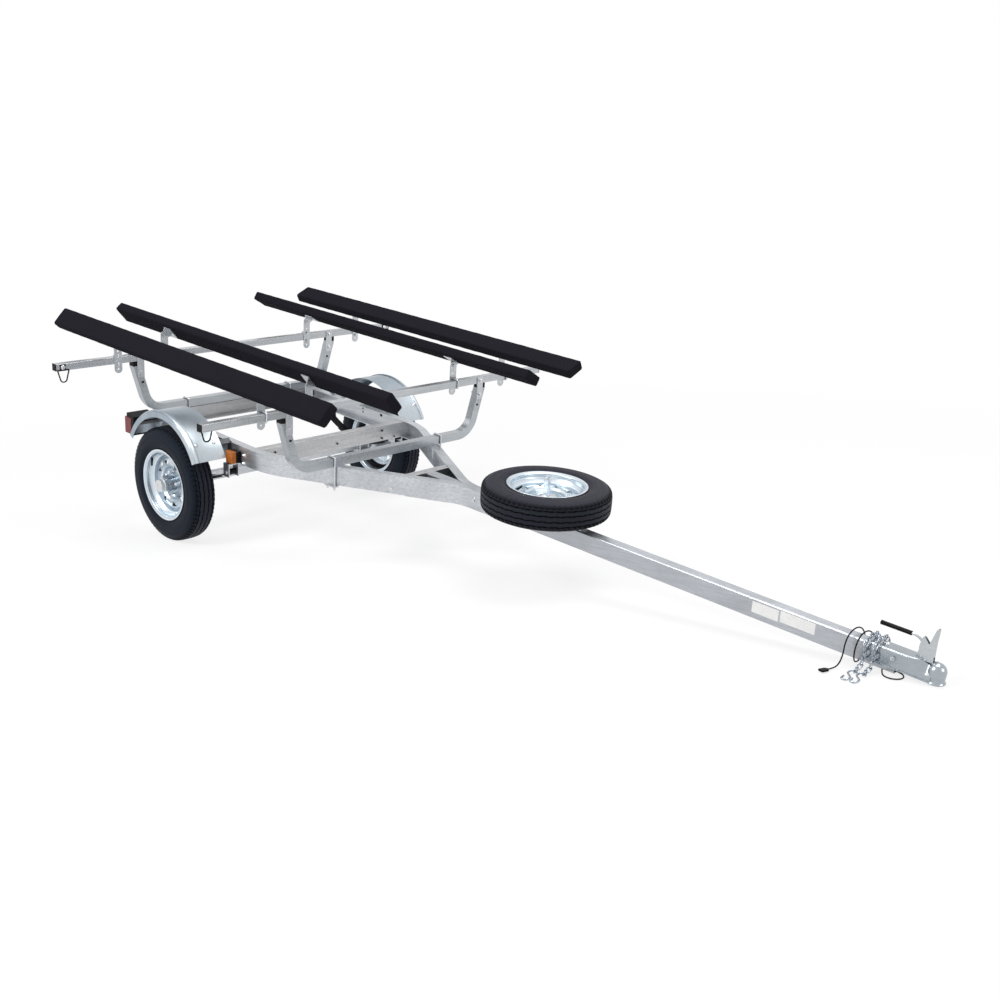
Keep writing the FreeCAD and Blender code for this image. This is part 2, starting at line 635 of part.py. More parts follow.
def ubolt_holes(x, y):
    """Cutters for a U-bolt's two legs through the flanges below a stand."""
    reach = STAND_TUBE / 2 + UBOLT_R + FACE_GAP
    return Part.makeCompound([
        rod(V(x + way * reach, y, RAIL_FLOOR - OVERRUN), V(x + way * reach, y, RAIL_HEAD + OVERRUN),
            UBOLT_HOLE_R) for way in (-1, 1)])


# Bunk boards: the pivots are bolts along X through the strips' heads

RING_Y = BAR_HALF - RING_INSET
OUTER_REACH = RING_Y - STRAP_Y
PIVOT_Y_1 = -STRAP_Y - OUTER_REACH * OUTER_PIVOT_SHARES[0]
PIVOT_Y_2 = -STRAP_Y * INNER_PIVOT_SHARES[0]
PIVOT_Y_3 = STRAP_Y * INNER_PIVOT_SHARES[1]
PIVOT_Y_4 = STRAP_Y + OUTER_REACH * OUTER_PIVOT_SHARES[1]
# Each board: its pivot's Y and Z, its tilt, and its rear end's X
BOARDS = (
    (PIVOT_Y_1, PIVOT_Z_1, TILTS_DEG[0], BOARD_REAR_1),
    (PIVOT_Y_2, PIVOT_Z_2, TILTS_DEG[1], BOARD_REAR_2),
    (PIVOT_Y_3, PIVOT_Z_3, TILTS_DEG[2], BOARD_REAR_3),
    (PIVOT_Y_4, PIVOT_Z_4, TILTS_DEG[3], BOARD_REAR_4),
)


def strip_station(x_bar, inboard):
    """X of a strip's near and far faces; inboard is the X way its face looks."""
    face = x_bar + BAR_SHIFT + inboard * BAR_TUBE / 2
    return sorted((face, face + inboard * STRIP_T))


STRIP_STATIONS = ((STAND_REAR_X, 1), (STAND_FRONT_X, -1))


def bunk_strip(board, station):
    y, z, tilt, rear_x = board
    x0, x1 = strip_station(*station)
    half = STRIP_WIDTH / 2
    head = z
    foot = STRIP_FOOT + half
    plate = block(x0, x1, y - half, y + half, foot, head)
    ends = [rod(V(x0, y, end), V(x1, y, end), half) for end in (foot, head)]
    plate = fuse([plate] + ends)
    holes = [foot, BAR_FLOOR - PIVOT_R - FACE_GAP, BAR_HEAD + PIVOT_R + FACE_GAP]
    holes += [BAR_HEAD + PIVOT_R + STRIP_HOLE_PITCH * (i + 1) for i in range(STRIP_SPARE_HOLES)]
    for hole_z in holes:
        plate = plate.cut(rod(V(x0 - OVERRUN, y, hole_z), V(x1 + OVERRUN, y, hole_z), STRIP_HOLE_R))
    return plate.cut(rod(V(x0 - OVERRUN, y, z), V(x1 + OVERRUN, y, z), PIVOT_R + PIVOT_GAP))


def bunk_bracket(board, station):
    """Angle bracket under a board: a base plate, a tapered ear and the pivot bolt."""
    y, z, tilt, rear_x = board
    x0, x1 = strip_station(*station)
    inboard = station[1]
    ear_near = (x1 if inboard > 0 else x0) + inboard * FACE_GAP
    e0, e1 = sorted((ear_near, ear_near + inboard * BRACKET_T))
    b0, b1 = sorted((ear_near, ear_near + inboard * BRACKET_LENGTH))
    half = BRACKET_WIDTH / 2
    nose = PIVOT_R * 3
    base = block(b0, b1, -half, half, BOARD_STANDOFF - BRACKET_T, BOARD_STANDOFF)
    ear = polygon_face([(-half, BOARD_STANDOFF), (-nose, -nose / 2), (nose, -nose / 2),
                        (half, BOARD_STANDOFF)], in_front)
    ear.translate(V(e0, 0, 0))
    ear = ear.extrude(V(e1 - e0, 0, 0)).fuse(rod(V(e0, 0, 0), V(e1, 0, 0), nose))
    bolt_back = (x0 if inboard > 0 else x1) - inboard * PIVOT_R * 2
    bolt = rod(V(bolt_back, 0, 0), V(ear_near + inboard * BRACKET_T * 2, 0, 0), PIVOT_R)
    head_end = (x0 if inboard > 0 else x1) - inboard * FACE_GAP
    bolt_head = rod(V(bolt_back, 0, 0), V(head_end, 0, 0), PIVOT_R * 1.8)
    bracket = fuse([base, ear, bolt, bolt_head])
    return placed_on_pivot(bracket, board)


def placed_on_pivot(shape, board):
    y, z, tilt, rear_x = board
    turned = shape.rotated(V(0, 0, 0), X_AXIS, -tilt)
    turned.translate(V(0, y, z))
    return turned


def board_solid(board):
    """A padded board with square, slightly blunted ends and rounded long edges."""
    rear_x = board[3]
    front_x = rear_x + BOARD_LENGTH
    half = BOARD_WIDTH / 2
    outline = [(rear_x, -half + BOARD_NOSE), (rear_x + BOARD_NOSE, -half),
               (front_x - BOARD_NOSE, -half), (front_x, -half + BOARD_NOSE),
               (front_x, half - BOARD_NOSE), (front_x - BOARD_NOSE, half),
               (rear_x + BOARD_NOSE, half), (rear_x, half - BOARD_NOSE)]
    face = polygon_face(outline, in_plan)
    face.translate(V(0, 0, BOARD_STANDOFF))
    solid = face.extrude(V(0, 0, BOARD_T))
    long_edges = [e for e in solid.Edges if e.Length > BOARD_LENGTH / 2]
    solid = solid.makeFillet(BOARD_EDGE_R, long_edges)
    return placed_on_pivot(solid, board)


def bar_clamp(board, station):
    """Square U-bolt round the crossbar that holds a strip against it."""
    y = board[0]
    x_bar, inboard = station
    centre = x_bar + BAR_SHIFT
    half = BAR_TUBE / 2 + PIVOT_R + FACE_GAP
    back = centre - inboard * half
    tip = centre + inboard * (BAR_TUBE / 2 + STRIP_T + PIVOT_R * 2)
    top, low = BAR_CENTRE_Z + half, BAR_CENTRE_Z - half
    corner = PIVOT_R * 1.6
    path = [(tip, top), (back, top), (back, low), (tip, low)]
    return bent_rod(path, [corner, corner], lambda u, v: V(u, y, v), PIVOT_R)


# Tie-down rings near the crossbars' ends

RING_R = 3.0
RING_WIDTH = 60.0
RING_DROP = 67.0                # from the crossbar's middle to the middle of the ring's low side
RING_CLIP_T = 4.0
RING_CLIP_HALF = 13.0


def tie_ring(x_bar, inboard, side):
    """A ring with sides that lean in to a round foot, hung from a clip on the crossbar."""
    face = x_bar + BAR_SHIFT + inboard * BAR_TUBE / 2
    clip_face = face + inboard * RING_CLIP_T
    c0, c1 = sorted((face, clip_face))
    y = side * (RING_Y - (RING_FRONT_SETIN if x_bar > 0 else 0))
    top = BAR_CENTRE_Z - RING_CLIP_HALF
    clip = block(c0, c1, y - RING_CLIP_HALF, y + RING_CLIP_HALF, top, BAR_CENTRE_Z + RING_CLIP_HALF)
    half = RING_WIDTH / 2 - RING_R
    ring_x = face + inboard * RING_R
    low = BAR_CENTRE_Z - RING_DROP
    foot_share, corner_share = 0.44, 0.55
    foot, corner = half * foot_share, half * corner_share
    points = [(y - half, top), (y - foot, low), (y + foot, low), (y + half, top)]
    loop = bent_rod(points, [corner, corner], lambda u, v: V(ring_x, u, v), RING_R)
    top_bar = rod(V(ring_x, y - half, top), V(ring_x, y + half, top), RING_R)
    return fuse([clip, loop, top_bar])


# Running gear

LEAF_FLOOR = AXLE_TUBE / 2
SPRING_MIDDLE_Z = LEAF_FLOOR + LEAF_T * 1.5
SPRING_R = (SPRING_HALF ** 2 + SPRING_CAMBER ** 2) / (2 * SPRING_CAMBER)
EYE_Z = SPRING_MIDDLE_Z + SPRING_CAMBER


def axle():
    half = AXLE_TUBE / 2
    beam = block(-half, half, -AXLE_HALF, AXLE_HALF, -half, half)
    spindles = [rod(V(0, side * AXLE_HALF, 0), V(0, side * SPINDLE_END, 0), SPINDLE_R)
                for side in (-1, 1)]
    return fuse([beam] + spindles)


def leaf_arc(half, radius, top):
    """Points of one leaf's face: left end, middle and right end on an arc over the axle."""
    rise = radius - math.sqrt(radius ** 2 - half ** 2)
    return [V(-half, 0, top + rise), V(0, 0, top), V(half, 0, top + rise)]


def leaf(half, middle_z):
    low = leaf_arc(half, SPRING_R, middle_z - LEAF_T / 2)
    high = leaf_arc(half, SPRING_R, middle_z + LEAF_T / 2)
    edges = [Part.Arc(*low).toShape(), Part.LineSegment(low[2], high[2]).toShape(),
             Part.Arc(*high).toShape(), Part.LineSegment(high[0], low[0]).toShape()]
    face = Part.Face(Part.Wire(Part.__sortEdges__(edges)))
    face.translate(V(0, -SPRING_Y - SPRING_WIDTH / 2, 0))
    return face.extrude(V(0, SPRING_WIDTH, 0))


def spring():
    leaves = [leaf(SPRING_HALF - EYE_BORE_R, SPRING_MIDDLE_Z),
              leaf(SPRING_HALF * SECOND_LEAF_SHARE, SPRING_MIDDLE_Z - LEAF_T)]
    body = fuse(leaves)
    y0, y1 = -SPRING_Y - SPRING_WIDTH / 2, -SPRING_Y + SPRING_WIDTH / 2
    for end in (-1, 1):
        x = end * SPRING_HALF
        body = body.fuse(rod(V(x, y0, EYE_Z), V(x, y1, EYE_Z), EYE_R))
        body = body.cut(rod(V(x, y0 - OVERRUN, EYE_Z), V(x, y1 + OVERRUN, EYE_Z), EYE_BORE_R))
    return body.removeSplitter()


def hanger(x):
    """Bent plate under the rail whose two ears carry one spring eye's bolt."""
    gap = SPRING_WIDTH / 2 + FACE_GAP
    outer_y = -SPRING_Y - gap - HANGER_T
    inner_y = -SPRING_Y + gap + HANGER_T
    low = RAIL_FLOOR - HANGER_DROP
    x0, x1 = x - HANGER_HALF_X, x + HANGER_HALF_X
    top = block(x0, x1, outer_y, -RAIL_HALF_SPREAD + RAIL_FLANGE, RAIL_FLOOR - HANGER_T, RAIL_FLOOR)
    ears = [block(x0, x1, outer_y, outer_y + HANGER_T, low, RAIL_FLOOR),
            block(x0, x1, inner_y - HANGER_T, inner_y, low, RAIL_FLOOR)]
    bolt = rod(V(x, outer_y - HANGER_T, EYE_Z), V(x, inner_y + HANGER_T, EYE_Z), EYE_BORE_R - FACE_GAP)
    return fuse([top] + ears + [bolt])


def spring_clamp():
    """Two U-bolts and a plate that hold the spring on top of the axle."""
    half_x = AXLE_TUBE / 2 + CLAMP_ROD_R + FACE_GAP
    half_y = SPRING_WIDTH / 2 + CLAMP_ROD_R + FACE_GAP
    plate_head = -AXLE_TUBE / 2
    plate_floor = plate_head - CLAMP_PLATE_T
    pieces = [block(-half_x * 1.5, half_x * 1.5, -SPRING_Y - half_y * 1.3, -SPRING_Y + half_y * 1.3,
                    plate_floor, plate_head)]
    head = SPRING_MIDDLE_Z + LEAF_T / 2 + CLAMP_ROD_R + FACE_GAP * 4
    for x in (-half_x, half_x):
        path = [(-SPRING_Y - half_y, plate_floor - CLAMP_PLATE_T * 2), (-SPRING_Y - half_y, head),
                (-SPRING_Y + half_y, head), (-SPRING_Y + half_y, plate_floor - CLAMP_PLATE_T * 2)]
        corner = CLAMP_ROD_R * 1.6
        pieces.append(bent_rod(path, [corner, corner], lambda u, v, x=x: V(x, u, v), CLAMP_ROD_R))
    return fuse(pieces)


# Fenders

def fender():
    """Rolled sheet over the wheel: flat crown, a raised ridge, then a shoulder and a short lip."""
    edge = -FENDER_OUTER_Y + FENDER_T
    shoulder = edge + FENDER_RIDGE_WIDTH / 3
    ridge = shoulder + FENDER_RIDGE_WIDTH
    rise = FENDER_RIDGE_HEIGHT
    path = [(FENDER_R, -FENDER_INNER_Y), (FENDER_R, ridge + rise), (FENDER_R + rise, ridge),
            (FENDER_R + rise, shoulder + rise), (FENDER_R - rise / 2, shoulder),
            (FENDER_R - rise / 2, edge), (FENDER_R - rise / 2 - FENDER_LIP, edge)]
    bends = [rise, rise, rise, rise * 0.75, rise * 0.75]
    section = strip_face(path, bends, -FENDER_T, 0, in_plan)
    start = section.rotated(V(0, 0, 0), Y_AXIS, -FENDER_END_DEG)
    shell = start.revolve(V(0, 0, 0), Y_AXIS, -(180.0 - 2 * FENDER_END_DEG))
    shell.translate(V(0, 0, FENDER_CENTRE_Z))
    return shell


def fender_arm(lean_deg):
    """Arm from a plate on the rail's web to the fender's underside."""
    half = FENDER_ARM_WIDTH / 2
    reach = math.sqrt((FENDER_R - FENDER_T) ** 2 - half ** 2) - FACE_GAP
    bar = block(reach - FENDER_ARM_T, reach, -FENDER_OUTER_Y + FENDER_RIDGE_WIDTH * 2,
                -RAIL_HALF_SPREAD, -half, half)
    arm = bar.rotated(V(0, 0, 0), Y_AXIS, -lean_deg)
    arm.translate(V(0, 0, FENDER_CENTRE_Z))
    x = (reach - FENDER_ARM_T / 2) * cos_deg(lean_deg)
    z = (reach - FENDER_ARM_T / 2) * sin_deg(lean_deg) + FENDER_CENTRE_Z
    plate = block(x - half, x + half, -RAIL_HALF_SPREAD - FENDER_ARM_T, -RAIL_HALF_SPREAD,
                  FRAME_FLOOR + TONGUE_HEIGHT / 2, z)
    return fuse([arm, plate])


# Lamps

LAMP_FOOT = FRAME_FLOOR - LAMP_FOOT_DROP
LAMP_INNER_Y = REAR_CROSS_HALF + FACE_GAP
LAMP_OUTER_Y = REAR_CROSS_HALF + LAMP_WIDTH
LENS_HEAD = LAMP_FOOT + LENS_HEIGHT


def tail_lamp():
    """Black housing on a lamp plate; its roof reaches back over the lens and falls to the front."""
    front, back = REAR_CROSS_FRONT, REAR_CROSS_FRONT - LAMP_DEPTH
    roof_end = front - LAMP_ROOF_REACH
    head = FRAME_HEAD + LAMP_RISE
    side = polygon_face([(front, LAMP_FOOT), (front, head - LAMP_SLOPE), (roof_end, head),
                         (roof_end, LENS_HEAD), (back, LENS_HEAD), (back, LAMP_FOOT)], in_side)
    side.translate(V(0, -LAMP_OUTER_Y, 0))
    return side.extrude(V(0, LAMP_OUTER_Y - LAMP_INNER_Y, 0))


def tail_lens():
    back = REAR_CROSS_FRONT - LAMP_DEPTH
    lens = block(back - LENS_DEPTH, back, -LAMP_OUTER_Y, -LAMP_INNER_Y, LAMP_FOOT, LENS_HEAD)
    rear_edges = [e for e in lens.Edges if abs(e.CenterOfMass.x - back + LENS_DEPTH) < FACE_GAP]
    return lens.makeFillet(LAMP_SLOPE / 2, rear_edges)


def marker_base():
    web = -RAIL_HALF_SPREAD
    foot = FRAME_FLOOR + MARKER_LIFT
    plate = block(MARKER_REAR_X, MARKER_REAR_X + MARKER_LENGTH + MARKER_TAB, web - MARKER_PLATE_T,
                  web, foot, foot + MARKER_HEIGHT)
    body = block(MARKER_REAR_X, MARKER_REAR_X + MARKER_LENGTH, web - MARKER_PLATE_T - MARKER_BASE_T,
                 web - MARKER_PLATE_T, foot, foot + MARKER_HEIGHT)
    return fuse([plate, body])


def marker_lens():
    base = -RAIL_HALF_SPREAD - MARKER_PLATE_T - MARKER_BASE_T
    foot = FRAME_FLOOR + MARKER_LIFT
    lens = block(MARKER_REAR_X, MARKER_REAR_X + MARKER_LENGTH, base - MARKER_LENS_T, base, foot,
                 foot + MARKER_HEIGHT)
    face_edges = [e for e in lens.Edges if abs(e.CenterOfMass.y - base + MARKER_LENS_T) < FACE_GAP]
    return lens.makeFillet(MARKER_LENS_T / 4, face_edges)


# Coupler

COUPLER_HEAD = FRAME_FLOOR + TONGUE_HEIGHT + COUPLER_WALL


def dome(radius, foot):
    """A round-topped plug about the socket's axis, from a height up to the ball's crown."""
    low, side = V(radius, 0, foot), V(radius, 0, BALL_CENTRE_Z)
    crown = V(0, 0, BALL_CENTRE_Z + radius)
    shoulder = V(radius * cos_deg(45), 0, BALL_CENTRE_Z + radius * sin_deg(45))
    edges = [Part.LineSegment(V(0, 0, foot), low).toShape(), Part.LineSegment(low, side).toShape(),
             Part.Arc(side, shoulder, crown).toShape(),
             Part.LineSegment(crown, V(0, 0, foot)).toShape()]
    solid = Part.Face(Part.Wire(edges)).revolve(V(0, 0, 0), Z_AXIS, 360)
    solid.translate(V(BALL_X, 0, 0))
    return solid


def coupler():
    """Pressed coupler: a channel over the tongue's end, flared edges and a ball socket."""
    inner_half = TONGUE_WIDTH / 2
    outer_half = inner_half + COUPLER_WALL
    flare_half = outer_half + COUPLER_FLARE
    socket_r = BALL_R + BALL_GAP
    shell_r = socket_r + COUPLER_WALL
    body = block(COUPLER_REAR_X, BALL_X, -outer_half, outer_half, COUPLER_FOOT, COUPLER_HEAD)
    top_edges = [e for e in body.Edges if e.CenterOfMass.z > COUPLER_HEAD - FACE_GAP
                 and abs(e.CenterOfMass.y) > inner_half]
    body = body.makeFillet(TONGUE_CORNER - FACE_GAP, top_edges)
    flare = block(COUPLER_REAR_X, BALL_X, -flare_half, flare_half, COUPLER_FOOT,
                  COUPLER_FOOT + COUPLER_WALL)
    lip = Part.makeCylinder(SOCKET_LIP_R, SOCKET_LIP_T, V(BALL_X, 0, SOCKET_FOOT))
    solid = body.fuse([flare, dome(shell_r, SOCKET_FOOT), lip])
    hollow = block(COUPLER_REAR_X - OVERRUN, BALL_X - shell_r - COUPLER_WALL, -inner_half,
                   inner_half, COUPLER_FOOT - OVERRUN, COUPLER_HEAD - COUPLER_WALL)
    return solid.cut([hollow, dome(socket_r, SOCKET_FOOT - OVERRUN)])


LATCH_SHARES = ((0.0, 0.0), (0.9, 0.0), (1.0, 0.95), (0.92, 1.0), (0.58, 0.47),
                (0.34, 0.63), (0.22, 0.5), (0.14, 0.2))


def latch():
    """Fin-shaped lever over the socket, with a bent rod to its grip."""
    rear = LATCH_PIVOT_X - LATCH_REAR
    outline = [(rear + u * LATCH_LENGTH, COUPLER_HEAD + v * LATCH_HEIGHT) for u, v in LATCH_SHARES]
    fin = polygon_face(outline, in_side)
    fin.translate(V(0, -LATCH_T / 2, 0))
    fin = fin.extrude(V(0, LATCH_T, 0))
    path = [(LATCH_PIVOT_X + ROD_R, COUPLER_HEAD + GRIP_R * 4), (LATCH_PIVOT_X - ROD_R * 3, GRIP_Z),
            (GRIP_FRONT_X - ROD_R, GRIP_Z)]
    handle = bent_rod(path, [ROD_R * 3], in_side, ROD_R)
    return fuse([fin, handle])


def latch_grip():
    return rod(V(GRIP_REAR_X, 0, GRIP_Z), V(GRIP_FRONT_X - ROD_R, 0, GRIP_Z), GRIP_R)


# Spare wheel carrier

def spare_carrier():
    """Long saddle on the tongue, a riser up to the wheel's disc, and a post with a round nut."""
    half = TONGUE_WIDTH / 2
    saddle_half = SPARE_X - RAIL_FRONT_X - OVERRUN
    tyre_floor = SPARE_CENTRE_Z - TYRE_WIDTH / 2 - FACE_GAP
    saddle = block(SPARE_X - saddle_half, SPARE_X + saddle_half, -half + TONGUE_CORNER,
                   half - TONGUE_CORNER, FRAME_HEAD, tyre_floor)
    riser = block(SPARE_X - half, SPARE_X + half, -half + TONGUE_CORNER, half - TONGUE_CORNER,
                  FRAME_HEAD, SPARE_CENTRE_Z - CARRIER_PLATE_T)
    plate = Part.makeCylinder(HUB_FLANGE_R, CARRIER_PLATE_T,
                              V(SPARE_X, 0, SPARE_CENTRE_Z - CARRIER_PLATE_T))
    post = rod(V(SPARE_X, 0, FRAME_HEAD), V(SPARE_X, 0, POST_HEAD), POST_R)
    knob = rod(V(SPARE_X, 0, SPARE_CENTRE_Z + RIM_WALL), V(SPARE_X, 0, POST_HEAD - POST_R * 2),
               POST_R * 2)
    washer = Part.makeCylinder(HUB_R * 1.3, RIM_WALL, V(SPARE_X, 0, SPARE_CENTRE_Z + RIM_WALL))
    return fuse([saddle, riser, plate, post, knob, washer])


# Safety chain: two runs of links from bolts on the tongue's far side, over the coupler, down
# its near side and out along the floor to a hook each

FLOOR_GRIP = 0.5                # air between a link or hook and the floor

NOSE_X = BALL_X + SOCKET_LIP_R
PITCH_DEG = math.degrees(math.asin(TYRE_R / math.hypot(NOSE_X, SOCKET_FOOT))
                         + math.atan2(SOCKET_FOOT, NOSE_X))


def off_floor(x, y, lift):
    """A point above the floor on which the tipped trailer stands, in the level frame."""
    floor_z = (x * sin_deg(PITCH_DEG) - TYRE_R) / cos_deg(PITCH_DEG)
    return V(x, y, floor_z + lift / cos_deg(PITCH_DEG))


def chain_link():
    """One welded link along X, lying in the XY plane, with bevelled ends."""
    half_long, half_wide = LINK_PITCH / 2 + LINK_WIRE, LINK_WIDTH / 2
    nose = half_wide / 2
    outline = [(half_long, -nose), (half_long, nose), (half_long - nose, half_wide),
               (nose - half_long, half_wide), (-half_long, nose), (-half_long, -nose),
               (nose - half_long, -half_wide), (half_long - nose, -half_wide)]
    hole_long, hole_wide = half_long - LINK_WIRE, half_wide - LINK_WIRE
    bevel = hole_wide * 0.7
    inside = [(hole_long, -bevel), (hole_long, bevel), (hole_long - bevel, hole_wide),
              (bevel - hole_long, hole_wide), (-hole_long, bevel), (-hole_long, -bevel),
              (bevel - hole_long, -hole_wide), (hole_long - bevel, -hole_wide)]
    ring = polygon_face(outline, in_plan).cut(polygon_face(inside, in_plan)).Faces[0]
    ring.translate(V(0, 0, -LINK_WIRE / 2))
    return ring.extrude(V(0, 0, LINK_WIRE))


def chain_run(x):
    """Joints of one run of the chain, from its bolt to its hook."""
    side = TONGUE_WIDTH / 2 + COUPLER_WALL + CHAIN_STANDOFF
    top = COUPLER_HEAD + CHAIN_STANDOFF
    on_floor = LINK_WIDTH / 2 + FLOOR_GRIP
    far_reach = off_floor(x, -side - CHAIN_FLOOR_RUN, on_floor)
    near_foot = off_floor(x, -side - CHAIN_BEND_R / 4, on_floor)
    drawn = [(side - CHAIN_STANDOFF / 2, CHAIN_BOLT_Z - CHAIN_BOLT_R - 2 * FACE_GAP), (side, BALL_CENTRE_Z),
             (side, top), (-side, top), (-side, COUPLER_FOOT),
             (near_foot.y, near_foot.z), (far_reach.y, far_reach.z)]
    path = path_wire(drawn, [CHAIN_BEND_R / 2, CHAIN_BEND_R, CHAIN_BEND_R, CHAIN_BEND_R / 4,
                             CHAIN_BEND_R], lambda u, v: V(x, u, v))
    joints = [path.discretize(Number=CHAIN_SAMPLES)[0]]
    last_way = None
    for point in path.discretize(Number=CHAIN_SAMPLES):
        step = (point - joints[-1]).Length
        way = (point - joints[-1]).normalize() if step > 0 else Y_AXIS
        turn = way.getAngle(last_way) if last_way and step > 0 else 0
        if step >= LINK_PITCH - LINK_SLACK - LINK_TURN_SLACK * turn:
            joints.append(point)
            last_way = way
    even = (len(joints) - 1) // 2 * 2
    return joints[:even + 1]


def placed_link(link, start, end, flat):
    heading = (end - start).normalize()
    width_way = X_AXIS if flat else heading.cross(X_AXIS).normalize()
    turn = FreeCAD.Rotation(heading, width_way, heading.cross(width_way), "XYZ")
    piece = link.copy()
    piece.Placement = FreeCAD.Placement((start + end) / 2, turn)
    return piece


def chain():
    links = []
    link = chain_link()
    for x in CHAIN_XS:
        joints = chain_run(x)
        for i, (start, end) in enumerate(zip(joints, joints[1:])):
            links.append(placed_link(link, start, end, i % 2 == 0))
    return Part.makeCompound(links)


def s_hook(x):
    """Open S-shaped hook lying on the floor, its near bow through the run's last link."""
    start, end = chain_run(x)[-2:]
    bow = HOOK_BOW_R + HOOK_WIRE_R
    long_leg = bow * 2
    path = [(bow, bow), (0, bow), (0, -bow), (long_leg, -bow), (long_leg * 2, bow),
            (long_leg * 3, bow), (long_leg * 3, -bow), (long_leg * 2, -bow)]
    radii = [bow * 0.9, bow * 0.9, bow * 0.7, bow * 0.7, bow * 0.9, bow * 0.9]
    hook = bent_rod(path, radii, in_plan, HOOK_WIRE_R)
    along_floor = V(cos_deg(PITCH_DEG), 0, sin_deg(PITCH_DEG))
    up = V(-sin_deg(PITCH_DEG), 0, cos_deg(PITCH_DEG))
    drop = math.asin((LINK_WIDTH / 2 - HOOK_WIRE_R) / (long_leg * 3))
    outward = Y_AXIS * -math.cos(drop) - up * math.sin(drop)
    seat = (start + end) / 2 + (end - start).normalize() * (LINK_PITCH / 2 - HOOK_WIRE_R - FACE_GAP)
    turn = FreeCAD.Rotation(outward, along_floor, outward.cross(along_floor), "XYZ")
    hook.Placement = FreeCAD.Placement(seat, turn)
    return hook


def chain_bolt(x):
    face = TONGUE_WIDTH / 2 + COUPLER_WALL
    shank = rod(V(x, face, CHAIN_BOLT_Z), V(x, face + CHAIN_STANDOFF * 1.5, CHAIN_BOLT_Z), CHAIN_BOLT_R)
    head = rod(V(x, face + CHAIN_STANDOFF * 1.2, CHAIN_BOLT_Z),
               V(x, face + CHAIN_STANDOFF * 1.5, CHAIN_BOLT_Z), CHAIN_BOLT_R * 2.2)
    return fuse([shank, head])


# Lamp wiring: out of the tongue's open end, back under it, twice round it and on to a plug

def rounded_route(points, radius_share):
    """Straight runs joined by tangent arcs, each arc as large as its two runs allow."""
    edges, radii = [], []
    last = points[0]
    for before, here, after in zip(points, points[1:], points[2:]):
        way_in, way_out = (here - before).normalize(), (after - here).normalize()
        turn = way_in.getAngle(way_out)
        shorter = min((here - before).Length, (after - here).Length)
        back = shorter * radius_share
        radii.append(back / math.tan(turn / 2))
        foot, tip = here - way_in * back, here + way_out * back
        inward = (way_out - way_in).normalize()
        depth = radii[-1] * (1 / math.cos(turn / 2) - 1)
        edges.append(Part.LineSegment(last, foot).toShape())
        edges.append(Part.Arc(foot, here + inward * depth, tip).toShape())
        last = tip
    edges.append(Part.LineSegment(last, points[-1]).toShape())
    return Part.Wire(edges), radii


def wiring():
    route = [V(*point) for point in CORD_ROUTE]
    path, radii = rounded_route(route, CORD_ARC_SHARE)
    print("cord radii", [round(r, 1) for r in radii])
    ring = Part.Wire(Part.makeCircle(CORD_R, route[0], route[1] - route[0]))
    tube = path.makePipeShell([ring], True, False)
    print("cord volume share", tube.Volume / (math.pi * CORD_R ** 2 * path.Length),
          "length", path.Length)
    for point in route:
        floor_z = off_floor(point.x, point.y, 0).z
        if point.z - CORD_R < floor_z:
            print("cord below floor at", tuple(point), round(point.z - CORD_R - floor_z, 2))
    heading = (route[-1] - route[-2]).normalize()
    along_x = heading.cross(V(-sin_deg(PITCH_DEG), 0, cos_deg(PITCH_DEG))).normalize()
    plug = block(0, PLUG_LENGTH, -PLUG_WIDTH / 2, PLUG_WIDTH / 2, -PLUG_T / 2, PLUG_T / 2)
    turn = FreeCAD.Rotation(heading, along_x, heading.cross(along_x), "XYZ")
    plug.Placement = FreeCAD.Placement(route[-1], turn)
    return tube, plug


# All pieces, level

